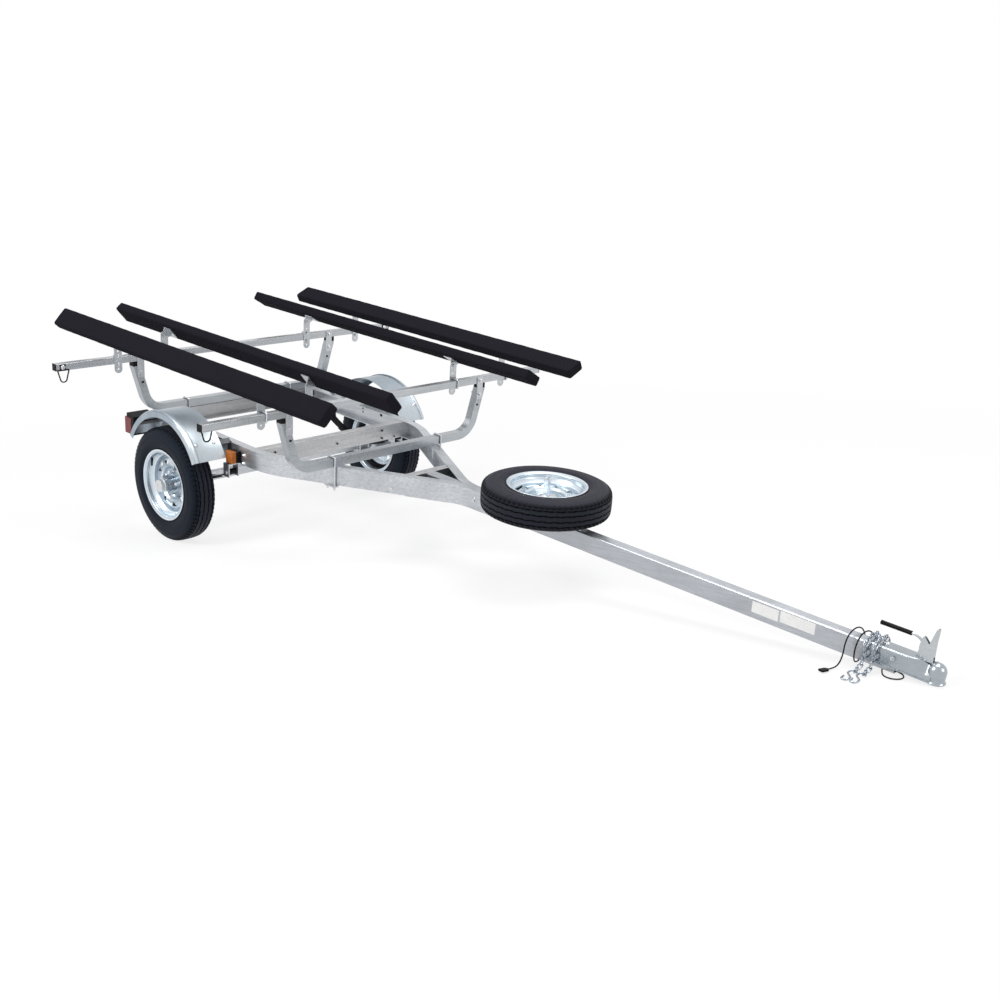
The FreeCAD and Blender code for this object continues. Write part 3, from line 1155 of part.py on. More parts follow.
def level_nodes():
    right_rail = rail().cut(ubolt_holes(STAND_FRONT_X, -UBOLT_FRONT_Y))
    rear_cross = cross_channel(REAR_CROSS_X, 1, REAR_CROSS_HALF, CROSS_WALL, REAR_CROSS_FLANGE)
    for side in (-1, 1):
        rear_cross = rear_cross.cut(ubolt_holes(STAND_REAR_X, side * UBOLT_REAR_Y))
    rear_cross = fuse([rear_cross] + lamp_plates())
    cord, plug = wiring()
    nodes = {
        "rail_right": right_rail,
        "rail_left": mirrored(right_rail),
        "crossmember_rear": rear_cross,
        "crossmember_middle": between_rails(
            cross_channel(MIDDLE_CROSS_X, -1, RAIL_HALF_SPREAD, CROSS_WALL, CROSS_FLANGE)),
        "crossmember_front": between_rails(
            cross_channel(FRONT_CROSS_X, 1, FRONT_CROSS_HALF, CROSS_WALL, CROSS_FLANGE)),
        "tongue": tongue(),
        "gusset_plate": gusset_plate(),
        "stand_rear": stand(STAND_REAR_X),
        "stand_front": stand(STAND_FRONT_X),
        "stand_plugs": stand_plugs(),
        "stand_straps": stand_straps(),
        "stand_ubolts": Part.makeCompound(
            [stand_ubolt(STAND_REAR_X, side * UBOLT_REAR_Y, FRAME_FLOOR) for side in (-1, 1)]
            + [stand_ubolt(STAND_FRONT_X, side * UBOLT_FRONT_Y, RAIL_FLOOR) for side in (-1, 1)]),
        "crossbar_rear": crossbar(STAND_REAR_X),
        "crossbar_front": crossbar(STAND_FRONT_X),
        "crossbar_caps": crossbar_caps(),
        "tie_rings": Part.makeCompound(
            [tie_ring(x, inboard, side) for x, inboard in STRIP_STATIONS for side in (-1, 1)]),
        "bunk_strips": Part.makeCompound(
            [bunk_strip(board, station) for board in BOARDS for station in STRIP_STATIONS]),
        "bar_clamps": Part.makeCompound(
            [bar_clamp(board, station) for board in BOARDS for station in STRIP_STATIONS]),
        "axle": axle(),
        "leaf_springs": pair(spring()),
        "spring_hangers": Part.makeCompound(
            [piece for end in (-1, 1) for piece in
             (hanger(end * SPRING_HALF), mirrored(hanger(end * SPRING_HALF)))]),
        "spring_clamps": pair(spring_clamp()),
        "fender_right": fender(),
        "fender_left": mirrored(fender()),
        "fender_arms": Part.makeCompound(
            [piece for lean in (FENDER_ARM_DEG, 180.0 - FENDER_ARM_DEG) for piece in
             (fender_arm(lean), mirrored(fender_arm(lean)))]),
        "tail_lamps": pair(tail_lamp()),
        "tail_lenses": pair(tail_lens()),
        "marker_bases": pair(marker_base()),
        "marker_lenses": pair(marker_lens()),
        "coupler": coupler(),
        "coupler_latch": latch(),
        "latch_grip": latch_grip(),
        "safety_chain": chain(),
        "chain_hooks": Part.makeCompound([s_hook(x) for x in CHAIN_XS]),
        "chain_bolts": Part.makeCompound([chain_bolt(x) for x in CHAIN_XS]),
        "wiring_cord": cord,
        "wiring_plug": plug,
        "spare_rim": on_tongue(rim()),
        "spare_tyre": on_tongue(tyre()),
        "spare_carrier": spare_carrier(),
    }
    for i, board in enumerate(BOARDS, 1):
        nodes["bunk_board_%d" % i] = board_solid(board)
        nodes["bunk_bracket_%d" % i] = Part.makeCompound(
            [bunk_bracket(board, station) for station in STRIP_STATIONS])
    for name, side in (("right", -1), ("left", 1)):
        nodes["hub_" + name] = on_axle(hub(), side)
        nodes["rim_" + name] = on_axle(rim(), side)
        nodes["tyre_" + name] = on_axle(tyre(), side)
    return nodes


# Parked: tipped about the axle until the front of the socket's lip meets the floor

CORD_NODES = ("wiring_cord", "wiring_plug")


def park(nodes):
    """Tip every piece, then put the origin under the middle of the whole trailer's box."""
    tipped = {name: shape.rotated(V(0, 0, 0), Y_AXIS, PITCH_DEG) for name, shape in nodes.items()}
    whole = FreeCAD.BoundBox()
    for name, shape in tipped.items():
        if name not in CORD_NODES:
            whole.add(shape.BoundBox)
    shift = V(-(whole.XMin + whole.XMax) / 2, -(whole.YMin + whole.YMax) / 2, TYRE_R)
    for shape in tipped.values():
        shape.translate(shift)
    return tipped, shift


def main():
    os.makedirs("parts", exist_ok=True)
    nodes, shift = park(level_nodes())
    for name, shape in sorted(nodes.items()):
        if not shape.isValid():
            print("NOT VALID", name)
        shape.exportStep("parts/" + name + ".step")
    print("pitch", PITCH_DEG, "axle at", shift.x, shift.y, shift.z)


main()
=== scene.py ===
import json
import math
import bmesh
import bpy
import numpy as np
from mathutils import Matrix, Vector

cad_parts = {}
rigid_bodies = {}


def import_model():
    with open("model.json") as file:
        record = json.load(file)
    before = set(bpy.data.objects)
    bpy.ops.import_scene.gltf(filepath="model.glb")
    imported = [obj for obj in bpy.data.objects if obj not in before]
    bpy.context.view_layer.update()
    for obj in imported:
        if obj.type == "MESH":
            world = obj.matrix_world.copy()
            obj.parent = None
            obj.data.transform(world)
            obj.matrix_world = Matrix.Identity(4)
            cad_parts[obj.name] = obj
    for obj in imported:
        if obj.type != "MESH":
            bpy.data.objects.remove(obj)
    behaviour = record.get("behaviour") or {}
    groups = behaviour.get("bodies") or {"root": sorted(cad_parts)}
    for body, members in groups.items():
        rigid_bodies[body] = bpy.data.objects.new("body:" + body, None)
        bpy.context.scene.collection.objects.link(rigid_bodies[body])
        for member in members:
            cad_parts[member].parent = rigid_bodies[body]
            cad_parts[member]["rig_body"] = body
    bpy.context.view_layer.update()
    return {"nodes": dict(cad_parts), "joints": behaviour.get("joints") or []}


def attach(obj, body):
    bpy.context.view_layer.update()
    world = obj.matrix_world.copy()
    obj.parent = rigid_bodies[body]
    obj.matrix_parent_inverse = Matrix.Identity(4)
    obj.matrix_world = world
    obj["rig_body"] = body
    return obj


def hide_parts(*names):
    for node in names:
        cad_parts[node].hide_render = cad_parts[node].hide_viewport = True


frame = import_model()

# The trailer's own level frame: along the tongue, across to the left side, and square to
# both, from the middle of the axle. Every measure below is in that frame, in metres, and
# tables inside mm() are in millimetres.
JOINTS = {joint["name"]: joint for joint in frame["joints"]}
ALONG = np.array(JOINTS["tilt_1"]["axis"])
ACROSS = np.array((0.0, 1.0, 0.0))
ABOVE = np.cross(ALONG, ACROSS)
AXLE = np.array(JOINTS["roll_right"]["pos_m"]) * (1.0, 0.0, 1.0)
FORWARD, LEFT, UP = (1, 0, 0), (0, 1, 0), (0, 0, 1)


def placed(points):
    """Level points carried into the standing frame: the axle plus each measure times its direction."""
    p = np.asarray(points, float)
    return AXLE + p[..., 0:1] * ALONG + p[..., 1:2] * ACROSS + p[..., 2:3] * ABOVE


def levelled(points):
    """The reverse: standing points measured along, across and above from the axle."""
    p = np.asarray(points, float) - AXLE
    return np.stack([p @ ALONG, p @ ACROSS, p @ ABOVE], -1)


# Shape helpers, with distances below which corners merge and the angle of a crease
NEW_MERGE, SOURCE_MERGE, NO_LENGTH = 2e-6, 1e-5, 1e-6
FLAT_DEGREES, CREASE_DEGREES = 1.0, 32.0


def mm(*rows):
    """Rows of millimetres as metres."""
    return np.array(rows, float) / 1000


def around(steps):
    """Even angles once round."""
    return np.linspace(0, 2 * math.pi, steps, endpoint=False)


def polar(radius, angle):
    """Points of a plane by radius and angle."""
    return np.stack([radius * np.cos(angle), radius * np.sin(angle)], -1)


def unit(v):
    v = np.asarray(v, float)
    return v / np.linalg.norm(v)


def two_sides(axis):
    """Two directions square to an axis and to each other."""
    a = unit(axis)
    b = unit(np.cross(UP if abs(a[2]) < 0.9 else FORWARD, a))
    return b, np.cross(a, b)


class Shape:
    """Points and faces of one piece, gathered from grids in the level frame."""

    def __init__(self):
        self.points = []
        self.faces = []
        self.count = 0

    def grid(self, points, loop_rows=False, loop_columns=False):
        """Four-sided faces between the rows and columns of a grid of points."""
        points = np.asarray(points, float)
        rows, columns = points.shape[:2]
        index = np.arange(rows * columns).reshape(rows, columns) + self.count
        if loop_rows:
            index = np.vstack([index, index[:1]])
        if loop_columns:
            index = np.hstack([index, index[:, :1]])
        quads = np.stack([index[:-1, :-1], index[1:, :-1], index[1:, 1:], index[:-1, 1:]], -1)
        self.points.append(points.reshape(-1, 3))
        self.faces.append(quads.reshape(-1, 4))
        self.count += rows * columns
        return self

    def closed(self, rows):
        """A tube of looped rows whose two end rows are shut towards their own middles."""
        rows = np.asarray(rows, float)
        first, last = [np.repeat(end.mean(1, keepdims=True), rows.shape[1], 1)
                       for end in (rows[:1], rows[-1:])]
        return self.grid(np.concatenate([first, rows, last]), loop_columns=True)

    def turned(self, profile, steps, centre=(0, 0, 0), axis=UP, sides=0, turn=0.0, ring=False):
        """Radius and height along a profile, turned about an axis; with sides, the radius
        follows a regular polygon whose flats are at the profile's radius."""
        angle = around(steps) + turn
        swell = np.ones(steps)
        if sides:
            half = math.pi / sides
            swell = 1 / np.cos((angle - turn + half) % (2 * half) - half)
        b, c = two_sides(axis)
        profile = np.asarray(profile, float)
        way = np.cos(angle)[:, None] * b + np.sin(angle)[:, None] * c
        flat = profile[:, None, 0:1] * (swell[:, None] * way)[None]
        points = np.asarray(centre, float) + flat + profile[:, None, 1:2] * unit(axis)
        return self.grid(points, loop_rows=True, loop_columns=True) if ring else self.closed(points)

    def tube(self, path, radius, sides, normal, ring=False):
        """A circle carried along a path, its plane square to the path at each point."""
        path = np.asarray(path, float)
        way = np.roll(path, -1, 0) - np.roll(path, 1, 0) if ring else np.gradient(path, axis=0)
        way /= np.linalg.norm(way, axis=1)[:, None]
        side = np.cross(way, np.asarray(normal, float))
        side /= np.linalg.norm(side, axis=1)[:, None]
        other = np.cross(side, way)
        angle = around(sides)[None, :, None]
        points = path[:, None] + radius * (np.cos(angle) * side[:, None] + np.sin(angle) * other[:, None])
        return self.grid(points, loop_rows=True, loop_columns=True) if ring else self.closed(points)

    def slab(self, outline, centre, u_way, v_way, thick, edge, hub=None):
        """An outline in a plane given thickness: rows set in at both faces by the edge's round,
        and both faces shut towards the hub, or towards the outline's middle."""
        u_way, v_way = unit(u_way), unit(v_way)
        w_way = np.cross(u_way, v_way)
        outline = np.asarray(outline, float)
        reach = np.linalg.norm(outline, axis=1).max()
        rows = []
        for height, inset in ((0, edge), (edge, 0), (thick - edge, 0), (thick, edge)):
            flat = outline * (1 - inset / reach)
            rows.append(np.asarray(centre) + flat[:, :1] * u_way + flat[:, 1:] * v_way + height * w_way)
        if hub is None:
            return self.closed(rows)
        spot = np.asarray(centre) + hub[0] * u_way + hub[1] * v_way
        low, high = [np.repeat((spot + h * w_way)[None], len(outline), 0) for h in (0, thick)]
        return self.grid([low, *rows, high], loop_columns=True)

    def sheet(self, points):
        """A looped band closed at both ends by joining its two faces row to row."""
        self.grid(points, loop_columns=True)
        half = points.shape[1] // 2
        for end in (points[0], points[-1]):
            self.grid(np.stack([end[:half], end[::-1][:half]]))
        return self

    def moved(self, change):
        """Every point passed through a change of place."""
        self.points = [change(np.concatenate(self.points))]
        return self


def rounded_box(half_u, half_v, radius, corner_steps=5):
    """Outline of a rectangle with round corners: four quarter circles joined by straights."""
    angle = np.linspace(0, math.pi / 2, corner_steps)
    middle = np.array((half_u, half_v)) - radius
    return np.concatenate([middle * signs + radius * polar(1.0, angle + k * math.pi / 2)
                           for k, signs in enumerate(((1, 1), (-1, 1), (-1, -1), (1, -1)))])


def bend(points, radii, steps=7):
    """A line whose corners are quadratic curves between points set back along both runs."""
    points = np.asarray(points, float)
    rows = [points[:1]]
    t = np.linspace(0, 1, steps)[:, None]
    for before, here, after, radius in zip(points, points[1:], points[2:], radii):
        a = here + unit(before - here) * radius
        b = here + unit(after - here) * radius
        rows.append((1 - t) ** 2 * a + 2 * t * (1 - t) * here + t ** 2 * b)
    return np.concatenate(rows + [points[-1:]])


def smooth_line(points, steps):
    """Points of a smooth line through given points: cubic runs with shared slopes (Catmull-Rom)."""
    p = np.asarray(points, float)
    p = np.concatenate([2 * p[:1] - p[1:2], p, 2 * p[-1:] - p[-2:-1]])
    t = np.linspace(0, 1, steps, endpoint=False)[None, :, None]
    a, b, c, d = p[:-3, None], p[1:-2, None], p[2:-1, None], p[3:, None]
    runs = 0.5 * (2 * b + (c - a) * t + (2 * a - 5 * b + 4 * c - d) * t ** 2
                  + (3 * b - a - 3 * c + d) * t ** 3)
    return np.concatenate([runs.reshape(-1, p.shape[1]), p[-2:-1]])


def banded(line, thick):
    """A line in a plane, doubled to one side by a thickness, as one looped row."""
    way = np.gradient(line, axis=0)
    way /= np.linalg.norm(way, axis=1)[:, None]
    return np.concatenate([line, (line - np.stack([way[:, 1], -way[:, 0]], -1) * thick)[::-1]])


def shown(name, data):
    """A new object in the scene."""
    made = bpy.data.objects.new(name, data)
    bpy.context.scene.collection.objects.link(made)
    return made


def mesh_of(name, shape, standing=False):
    """A shape's mesh, carried into the standing frame unless it stands there already."""
    points = np.concatenate(shape.points)
    mesh = bpy.data.meshes.new(name)
    mesh.from_pydata((points if standing else placed(points)).tolist(), [],
                     np.concatenate(shape.faces).tolist())
    return mesh


def corners_of(mesh):
    """A mesh's corners as rows of three."""
    spots = np.empty(len(mesh.vertices) * 3)
    mesh.vertices.foreach_get("co", spots)
    return spots.reshape(-1, 3)


def finished(name, mesh, body, finish, nodes, smooth):
    """A mesh as a piece on its body: smooth up to an angle, with its finish and what it replaces."""
    mesh.shade_smooth()
    mesh.set_sharp_from_angle(angle=math.radians(smooth))
    mesh.materials.clear()
    mesh.materials.append(finish)
    made = shown(name, mesh)
    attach(made, body)
    if nodes:
        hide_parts(*nodes)
    return made


def piece(name, shape, body, finish, slot, *nodes, smooth=35.0, standing=False, measure=None):
    """One new piece: doubles merged, faces turned out. A measure gives each corner's reach
    from an axle and its rise along it, kept for the finish."""
    mesh = mesh_of(name, shape, standing)
    work = bmesh.new()
    work.from_mesh(mesh)
    bmesh.ops.remove_doubles(work, verts=work.verts, dist=NEW_MERGE)
    bmesh.ops.dissolve_degenerate(work, dist=NO_LENGTH, edges=work.edges)
    bmesh.ops.recalc_face_normals(work, faces=work.faces)
    work.to_mesh(mesh)
    work.free()
    if measure:
        for label, values in zip(("reach", "rise"), measure(levelled(corners_of(mesh)))):
            mesh.attributes.new(label, "FLOAT", "POINT").data.foreach_set("value", values)
    return finished(name, mesh, body, finish, nodes, smooth)


def dressed(node, finish, edge):
    """A merged copy of a solid from the source, with its sharp edges rounded, in its place."""
    source = frame["nodes"][node]
    mesh = source.data.copy()
    work = bmesh.new()
    work.from_mesh(mesh)
    bmesh.ops.remove_doubles(work, verts=work.verts, dist=SOURCE_MERGE)
    bmesh.ops.dissolve_limit(work, angle_limit=math.radians(FLAT_DEGREES), verts=work.verts, edges=work.edges)
    work.to_mesh(mesh)
    work.free()
    made = finished(node + "_dressed", mesh, source["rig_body"], finish, (node,), CREASE_DEGREES)
    bevel = made.modifiers.new("edges", "BEVEL")
    bevel.width = edge
    bevel.segments = 2
    bevel.limit_method = "ANGLE"
    bevel.angle_limit = math.radians(CREASE_DEGREES)
    bevel.harden_normals = True
    bevel.use_clamp_overlap = True


# Finishes

GRAIN_SCALE, DULLEST, BRIGHTEST = 900.0, 0.62, 1.36


class Value:
    """A shader socket that takes part in plain arithmetic."""

    def __init__(self, tree, socket):
        self.tree = tree
        self.socket = socket

    def maths(self, operation, *others):
        node = self.tree.nodes.new("ShaderNodeMath")
        node.operation = operation
        for place, other in zip(node.inputs, others):
            if isinstance(other, Value):
                self.tree.links.new(other.socket, place)
            else:
                place.default_value = other
        return Value(self.tree, node.outputs[0])

    def __add__(self, other):
        return self.maths("ADD", self, other)

    def __sub__(self, other):
        return self.maths("SUBTRACT", self, other)

    def __mul__(self, other):
        return self.maths("MULTIPLY", self, other)

    def __rsub__(self, other):
        return self.maths("SUBTRACT", other, self)

    __radd__ = __add__

    def above(self, level):
        return self.maths("GREATER_THAN", self, level)

    def sine(self):
        return self.maths("SINE", self)

    def distance(self):
        return self.maths("ABSOLUTE", self)

    def clamped(self):
        return self.maths("MINIMUM", self.maths("MAXIMUM", self, 0.0), 1.0)

    def swing(self, amount):
        """How far it is from one half, times an amount."""
        return (self - 0.5) * amount

    def line(self, at, steepness):
        """1 where it equals a number, falling to 0 on both sides."""
        return 1.0 - ((self - at).distance() * steepness).clamped()


class Nodes:
    """A shader's nodes, led to the surface of its output."""

    def __init__(self, tree, output):
        self.tree = tree
        tree.nodes.clear()
        self.surface = tree.nodes.new(output).inputs["Surface"]

    def node(self, kind, settings=(), output=0, **sockets):
        """Any node: its settings first, then the values or links of its sockets."""
        node = self.tree.nodes.new("ShaderNode" + kind)
        for setting, value in dict(settings).items():
            setattr(node, setting, value)
        for key, value in sockets.items():
            place = node.inputs[int(key[1:])] if key[0] == "_" else node.inputs[key.replace("_", " ")]
            if isinstance(value, Value):
                self.tree.links.new(value.socket, place)
            else:
                place.default_value = value
        return Value(self.tree, node.outputs[output])

    def seen(self):
        """1 for what the camera sees straight, in a gloss or through a clear piece, else 0."""
        rays = [self.node("LightPath", {}, "Is %s Ray" % kind) for kind in ("Camera", "Glossy", "Transmission")]
        return (rays[0] + rays[1] + rays[2]).clamped()

    def end(self, value):
        self.tree.links.new(value.socket, self.surface)


class Finish(Nodes):
    """One procedural finish: its nodes, ended by one surface shader."""

    def __init__(self, name, uniform):
        self.material = bpy.data.materials.new(name)
        self.material.use_nodes = True
        super().__init__(self.material.node_tree, "ShaderNodeOutputMaterial")
        self.shader = self.tree.nodes.new("ShaderNodeBsdfPrincipled")
        for socket, value in uniform.items():
            self.shader.inputs[socket].default_value = value
        self.skin = Value(self.tree, self.shader.outputs[0])
        self.end(self.skin)
        self.place = self.node("TexCoord", {}, "Object")

    def noise(self, scale, detail=2.0, rough=0.5, at=None):
        return self.node("TexNoise", Vector=at or self.place, Scale=scale, Detail=detail, Roughness=rough)

    def kept(self, label):
        """A measure kept at each corner of the piece."""
        return self.node("Attribute", {"attribute_name": label}, "Fac")

    def stretched(self, *scale):
        """Object places scaled by a number each way, for streaks and grain."""
        return self.node("Mapping", Vector=self.place, Scale=scale)

    def mix(self, share, low, high):
        """One colour passing into another by a share."""
        return self.node("Mix", {"data_type": "RGBA"}, 2, _0=share, _6=low, _7=high)

    def spread(self, value, low, high, start=0.0, end=1.0):
        """A value's range from start to end laid over another range."""
        return self.node("MapRange", Value=value, From_Min=start, From_Max=end, To_Min=low, To_Max=high)

    def ramp(self, value, start, end, low=0.0, high=1.0):
        """The same, held between 0 and 1."""
        return self.spread(value, low, high, start, end).clamped()

    def feed(self, socket, value):
        self.tree.links.new(value.socket, self.shader.inputs[socket])

    def done(self, colour, roughness, height, depth, strength):
        """The material, fed with a varying colour, roughness and bump."""
        self.feed("Base Color", colour)
        self.feed("Roughness", roughness.clamped())
        self.feed("Normal", self.node("Bump", Height=height, Distance=depth, Strength=strength))
        return self.material


def grey(level, tint=(1.0, 1.0, 1.0)):
    return (level * tint[0], level * tint[1], level * tint[2], 1.0)


def zinc_finish(name, level, rough, tint, clouds=0.5, spangle=0.12, streaks=0.6, crystal=130.0,
                grain_way=(5.0, 130.0, 130.0), metallic=0.88, relief=0.12):
    """Hot-dip zinc: brightness from three shares, soft clouds, crystal patches and lengthwise
    streaks, with fine grain in the gloss."""
    f = Finish(name, {"Metallic": metallic})
    crystals = f.node("TexVoronoi", {}, 1, Vector=f.place, Scale=crystal, Randomness=1.0)
    shade = f.node("SeparateColor", Color=crystals)
    cloud = f.noise(5.5, 4.0, 0.6)
    streak = f.noise(1.0, 4.0, 0.65, f.stretched(*grain_way))
    grain = f.noise(GRAIN_SCALE)
    tone = cloud.swing(clouds) + shade.swing(spangle) + streak.swing(streaks) + 0.5
    colour = f.mix(tone.clamped(), grey(level * DULLEST, tint), grey(level * BRIGHTEST, tint))
    gloss = rough + shade.swing(spangle * 0.5) + cloud.swing(0.15) + grain.swing(0.05)
    return f.done(colour, gloss, grain * 0.3 + streak * 0.3, 0.0004, relief)


def fender_finish(name):
    """Rolled zinc sheet with painted reflection: darker over the crown and brighter down its front,
    with painted shade in the folds of its outer edge and a painted highlight along its ridge.
    Reach is the angle round the wheel, rise the distance out."""
    f = Finish(name, {"Metallic": 0.9})
    angle, out = f.kept("reach"), f.kept("rise")
    # painted reflection: the colour darkens over the crown and brightens down the front
    crown = f.ramp(angle, 48.0, 80.0)
    brushed = f.noise(1.0, 3.0, 0.6, f.node("CombineXYZ", X=angle * 0.12, Y=out * 260.0, Z=0.0))
    cloud, grain = f.noise(7.0, 4.0, 0.6), f.noise(GRAIN_SCALE)
    # painted shade in the two folds of the outer edge, and a painted highlight along the top of the ridge
    fold_painted_shade = out.line(0.6560, 380.0) + out.line(0.6745, 420.0)
    ridge_painted_highlight = out.line(0.6650, 170.0)
    tone = 0.60 - crown * 0.40 + brushed.swing(0.6) + cloud.swing(0.16) - fold_painted_shade * 0.35 + ridge_painted_highlight * 0.35
    colour = f.mix(tone.clamped(), (0.27, 0.33, 0.39, 1.0), (0.71, 0.76, 0.79, 1.0))
    gloss = 0.32 + cloud.swing(0.08) + grain.swing(0.06)
    return f.done(colour, gloss, grain * 0.3 + brushed * 0.3, 0.0004, 0.06)


def rubber_finish(name, wall, tread, sheen, line):
    """Tyre rubber: a dusty blue-black wall with faint rings, blacker tread whose grooves are
    darkened by painted shade, and a thin moulded line of another colour round one rib."""
    f = Finish(name, {"Specular IOR Level": 0.15, "Specular Tint": (*sheen, 1.0)})
    reach, rise = f.kept("reach"), f.kept("rise")
    dust, grain = f.noise(26.0, 5.0, 0.65), f.noise(1400.0)
    on_tread = f.ramp(reach, 0.246, 0.256)
    # painted shade: below the tread's top the colour falls to a small share, darkening the grooves
    height = f.ramp(reach, 0.2606, 0.2638)
    # paler colour along two rings of the wall, 208.5 and 240 mm from the axle
    pale_rings = reach.line(0.2085, 420.0) + reach.line(0.2400, 300.0)
    red = sheen[0]
    side = f.mix((f.spread(dust, 0.0, 1.0, 0.3, 0.75) + pale_rings * 0.5).clamped(),
                 grey(wall * 0.7, (red * 1.6, 1.0, 2.45 - red * 1.5)),
                 grey(wall * 1.5, (red * 1.8, 1.0, 2.15 - red * 1.4)))
    colour = f.mix(on_tread, side, f.mix(height, grey(tread * 0.08), grey(tread, (0.93, 0.96, 1.28))))
    if line:
        near = (rise - 0.0205).distance()
        mark = (1.0 - near.above(0.0010)) * f.noise(90.0).above(0.42)
        colour = f.mix(mark * 0.6, colour, (0.010, 0.045, 0.022, 1.0))
    rings = (reach * 2600.0).sine() * f.ramp(reach, 0.225, 0.235, 1.0, 0.0)
    return f.done(colour, 0.46 + dust * 0.22 + grain.swing(0.12), grain + dust * 0.5 + rings * 0.7, 0.0004, 0.5)


def wheel_finish(name, back):
    """Zinc-coated wheel: bands of brightness turned about the axle over soft clouds, with painted
    shade colouring the wall at the back of the disc near black, as far back as a given rise."""
    f = Finish(name, {"Metallic": 0.95})
    reach, rise = f.kept("reach"), f.kept("rise")
    bands = f.noise(1.0, 3.0, 0.6, f.node("CombineXYZ", X=reach * 130.0, Y=rise * 130.0, Z=0.0))
    clouds, grain = f.noise(9.0, 3.0, 0.6), f.noise(700.0)
    middle = f.ramp(reach, 0.070, 0.082, 0.5, 0.0)
    tone = (bands.swing(2.6) + clouds.swing(0.5) + grain.swing(0.2) + 0.58 - middle).clamped()
    bright = f.mix(tone, (0.26, 0.34, 0.41, 1.0), (0.80, 0.86, 0.91, 1.0))
    # painted shade: the wall at the back of the disc, inside the wheel, is coloured near black
    disc_back_painted_shade = f.ramp(rise, -0.006, -0.001, 1.0, 0.0) * f.ramp(rise, back - 0.008, back + 0.008)
    gloss = 0.29 + clouds.swing(0.12) + grain.swing(0.1) + disc_back_painted_shade * 0.4
    return f.done(f.mix(disc_back_painted_shade, bright, (0.02, 0.02, 0.024, 1.0)), gloss, bands * 0.8, 0.0003, 0.12)


def carpet_finish():
    """Needled carpet: short tangled fibres over soft lumps, with a pale catch of lint."""
    f = Finish("carpet_finish", {"Specular IOR Level": 0.02})
    fibre = f.noise(1.0, 4.0, 0.7, f.stretched(620.0, 900.0, 900.0))
    tangle = f.noise(360.0, 5.0, 0.75)
    lumps = f.noise(38.0, 3.0, 0.6)
    lint = f.noise(150.0, 2.0, 0.4).above(0.735)
    tone = (fibre * 0.5 + tangle * 0.5 - 0.18) * 1.3
    black = f.mix(tone.clamped(), (0.0050, 0.0048, 0.0068, 1.0), (0.0215, 0.0212, 0.0280, 1.0))
    return f.done(f.mix(lint * 0.3, black, (0.05, 0.048, 0.05, 1.0)), 0.9 + tangle.swing(0.15),
                  fibre * 0.5 + tangle * 0.7 + lumps * 0.8, 0.0020, 0.6)


def plastic_finish(name, level, rough, grain_scale=700.0, tint=(1.0, 1.0, 1.08)):
    """Moulded plastic: an even colour, a fine pebbled skin and faint scuffs."""
    f = Finish(name, {"Specular IOR Level": 0.09})
    grain = f.noise(grain_scale)
    scuffs = f.noise(1.0, 4.0, 0.7, f.stretched(30.0, 160.0, 60.0))
    colour = f.mix(f.spread(scuffs, 0.0, 1.0, 0.5, 0.8), grey(level, tint), grey(level * 1.8 + 0.003, tint))
    return f.done(colour, rough + scuffs.swing(0.25), grain, 0.0003, 0.35)


def lens_finish(name, deep, light):
    """Coloured lamp lens: fine upright prisms behind a clear glossy skin."""
    f = Finish(name, {"Coat Weight": 0.25, "Coat Roughness": 0.08, "Specular IOR Level": 0.25})
    x, y = [f.node("SeparateXYZ", {}, k, Vector=f.place) for k in (0, 1)]
    ribs = (y * 1500.0).sine() * (x * 1500.0).sine()
    cells = f.spread(ribs, 0.0, 1.0, -1.0, 1.0)
    colour = f.mix((cells * 0.6 + f.noise(30.0) * 0.4).clamped(), deep, light)
    return f.done(colour, 0.16 + cells * 0.14, cells, 0.0005, 0.3)


def paper_finish():
    """Blank label stock: soft white with a slight sheen and faint creases."""
    f = Finish("label_finish", {"Specular IOR Level": 0.4})
    creases = f.noise(60.0, 3.0, 0.6)
    colour = f.mix(creases, (0.66, 0.67, 0.66, 1.0), (0.8, 0.8, 0.79, 1.0))
    return f.done(colour, 0.38 + creases * 0.15, creases, 0.0002, 0.3)


def sheath_finish():
    """Cord sheath: soft black vinyl, its sheen broken by rubbed patches."""
    f = Finish("sheath_finish", {"Specular IOR Level": 0.08})
    rubbed = f.noise(70.0, 4.0, 0.6)
    colour = f.mix(rubbed, (0.0035, 0.0035, 0.0045, 1.0), (0.011, 0.011, 0.013, 1.0))
    return f.done(colour, 0.34 + rubbed * 0.25, rubbed, 0.0003, 0.3)


# The blue in these zinc tints, and in the fender's and wheels' colours, is partly the zinc's own cast and
# partly painted reflection of a blue sky.
GALVANISED = zinc_finish("galvanised_finish", 0.57, 0.34, (0.94, 0.98, 1.03), 0.7, 0.12, 1.1, relief=0.08)
CROSS_ZINC = zinc_finish("cross_member_finish", 0.49, 0.40, (0.98, 0.99, 1.01), 0.7, 0.35, 0.8, 260.0,
                         (110.0, 5.0, 110.0))
FENDER_ZINC = fender_finish("fender_finish")
TONGUE_ZINC = zinc_finish("tongue_finish", 0.46, 0.36, (0.94, 0.98, 1.05), 0.5, 0.10, 0.7, 170.0,
                          (5.0, 150.0, 150.0))
TUBE_ZINC = zinc_finish("bright_tube_finish", 0.50, 0.28, (0.95, 0.99, 1.03), 0.35, 0.04, 0.7, 200.0,
                        (150.0, 3.0, 150.0), relief=0.03)
STAND_ZINC = zinc_finish("stand_finish", 0.44, 0.29, (0.93, 0.99, 1.05), 0.5, 0.06, 0.6, 200.0,
                         (120.0, 5.0, 60.0), relief=0.04)
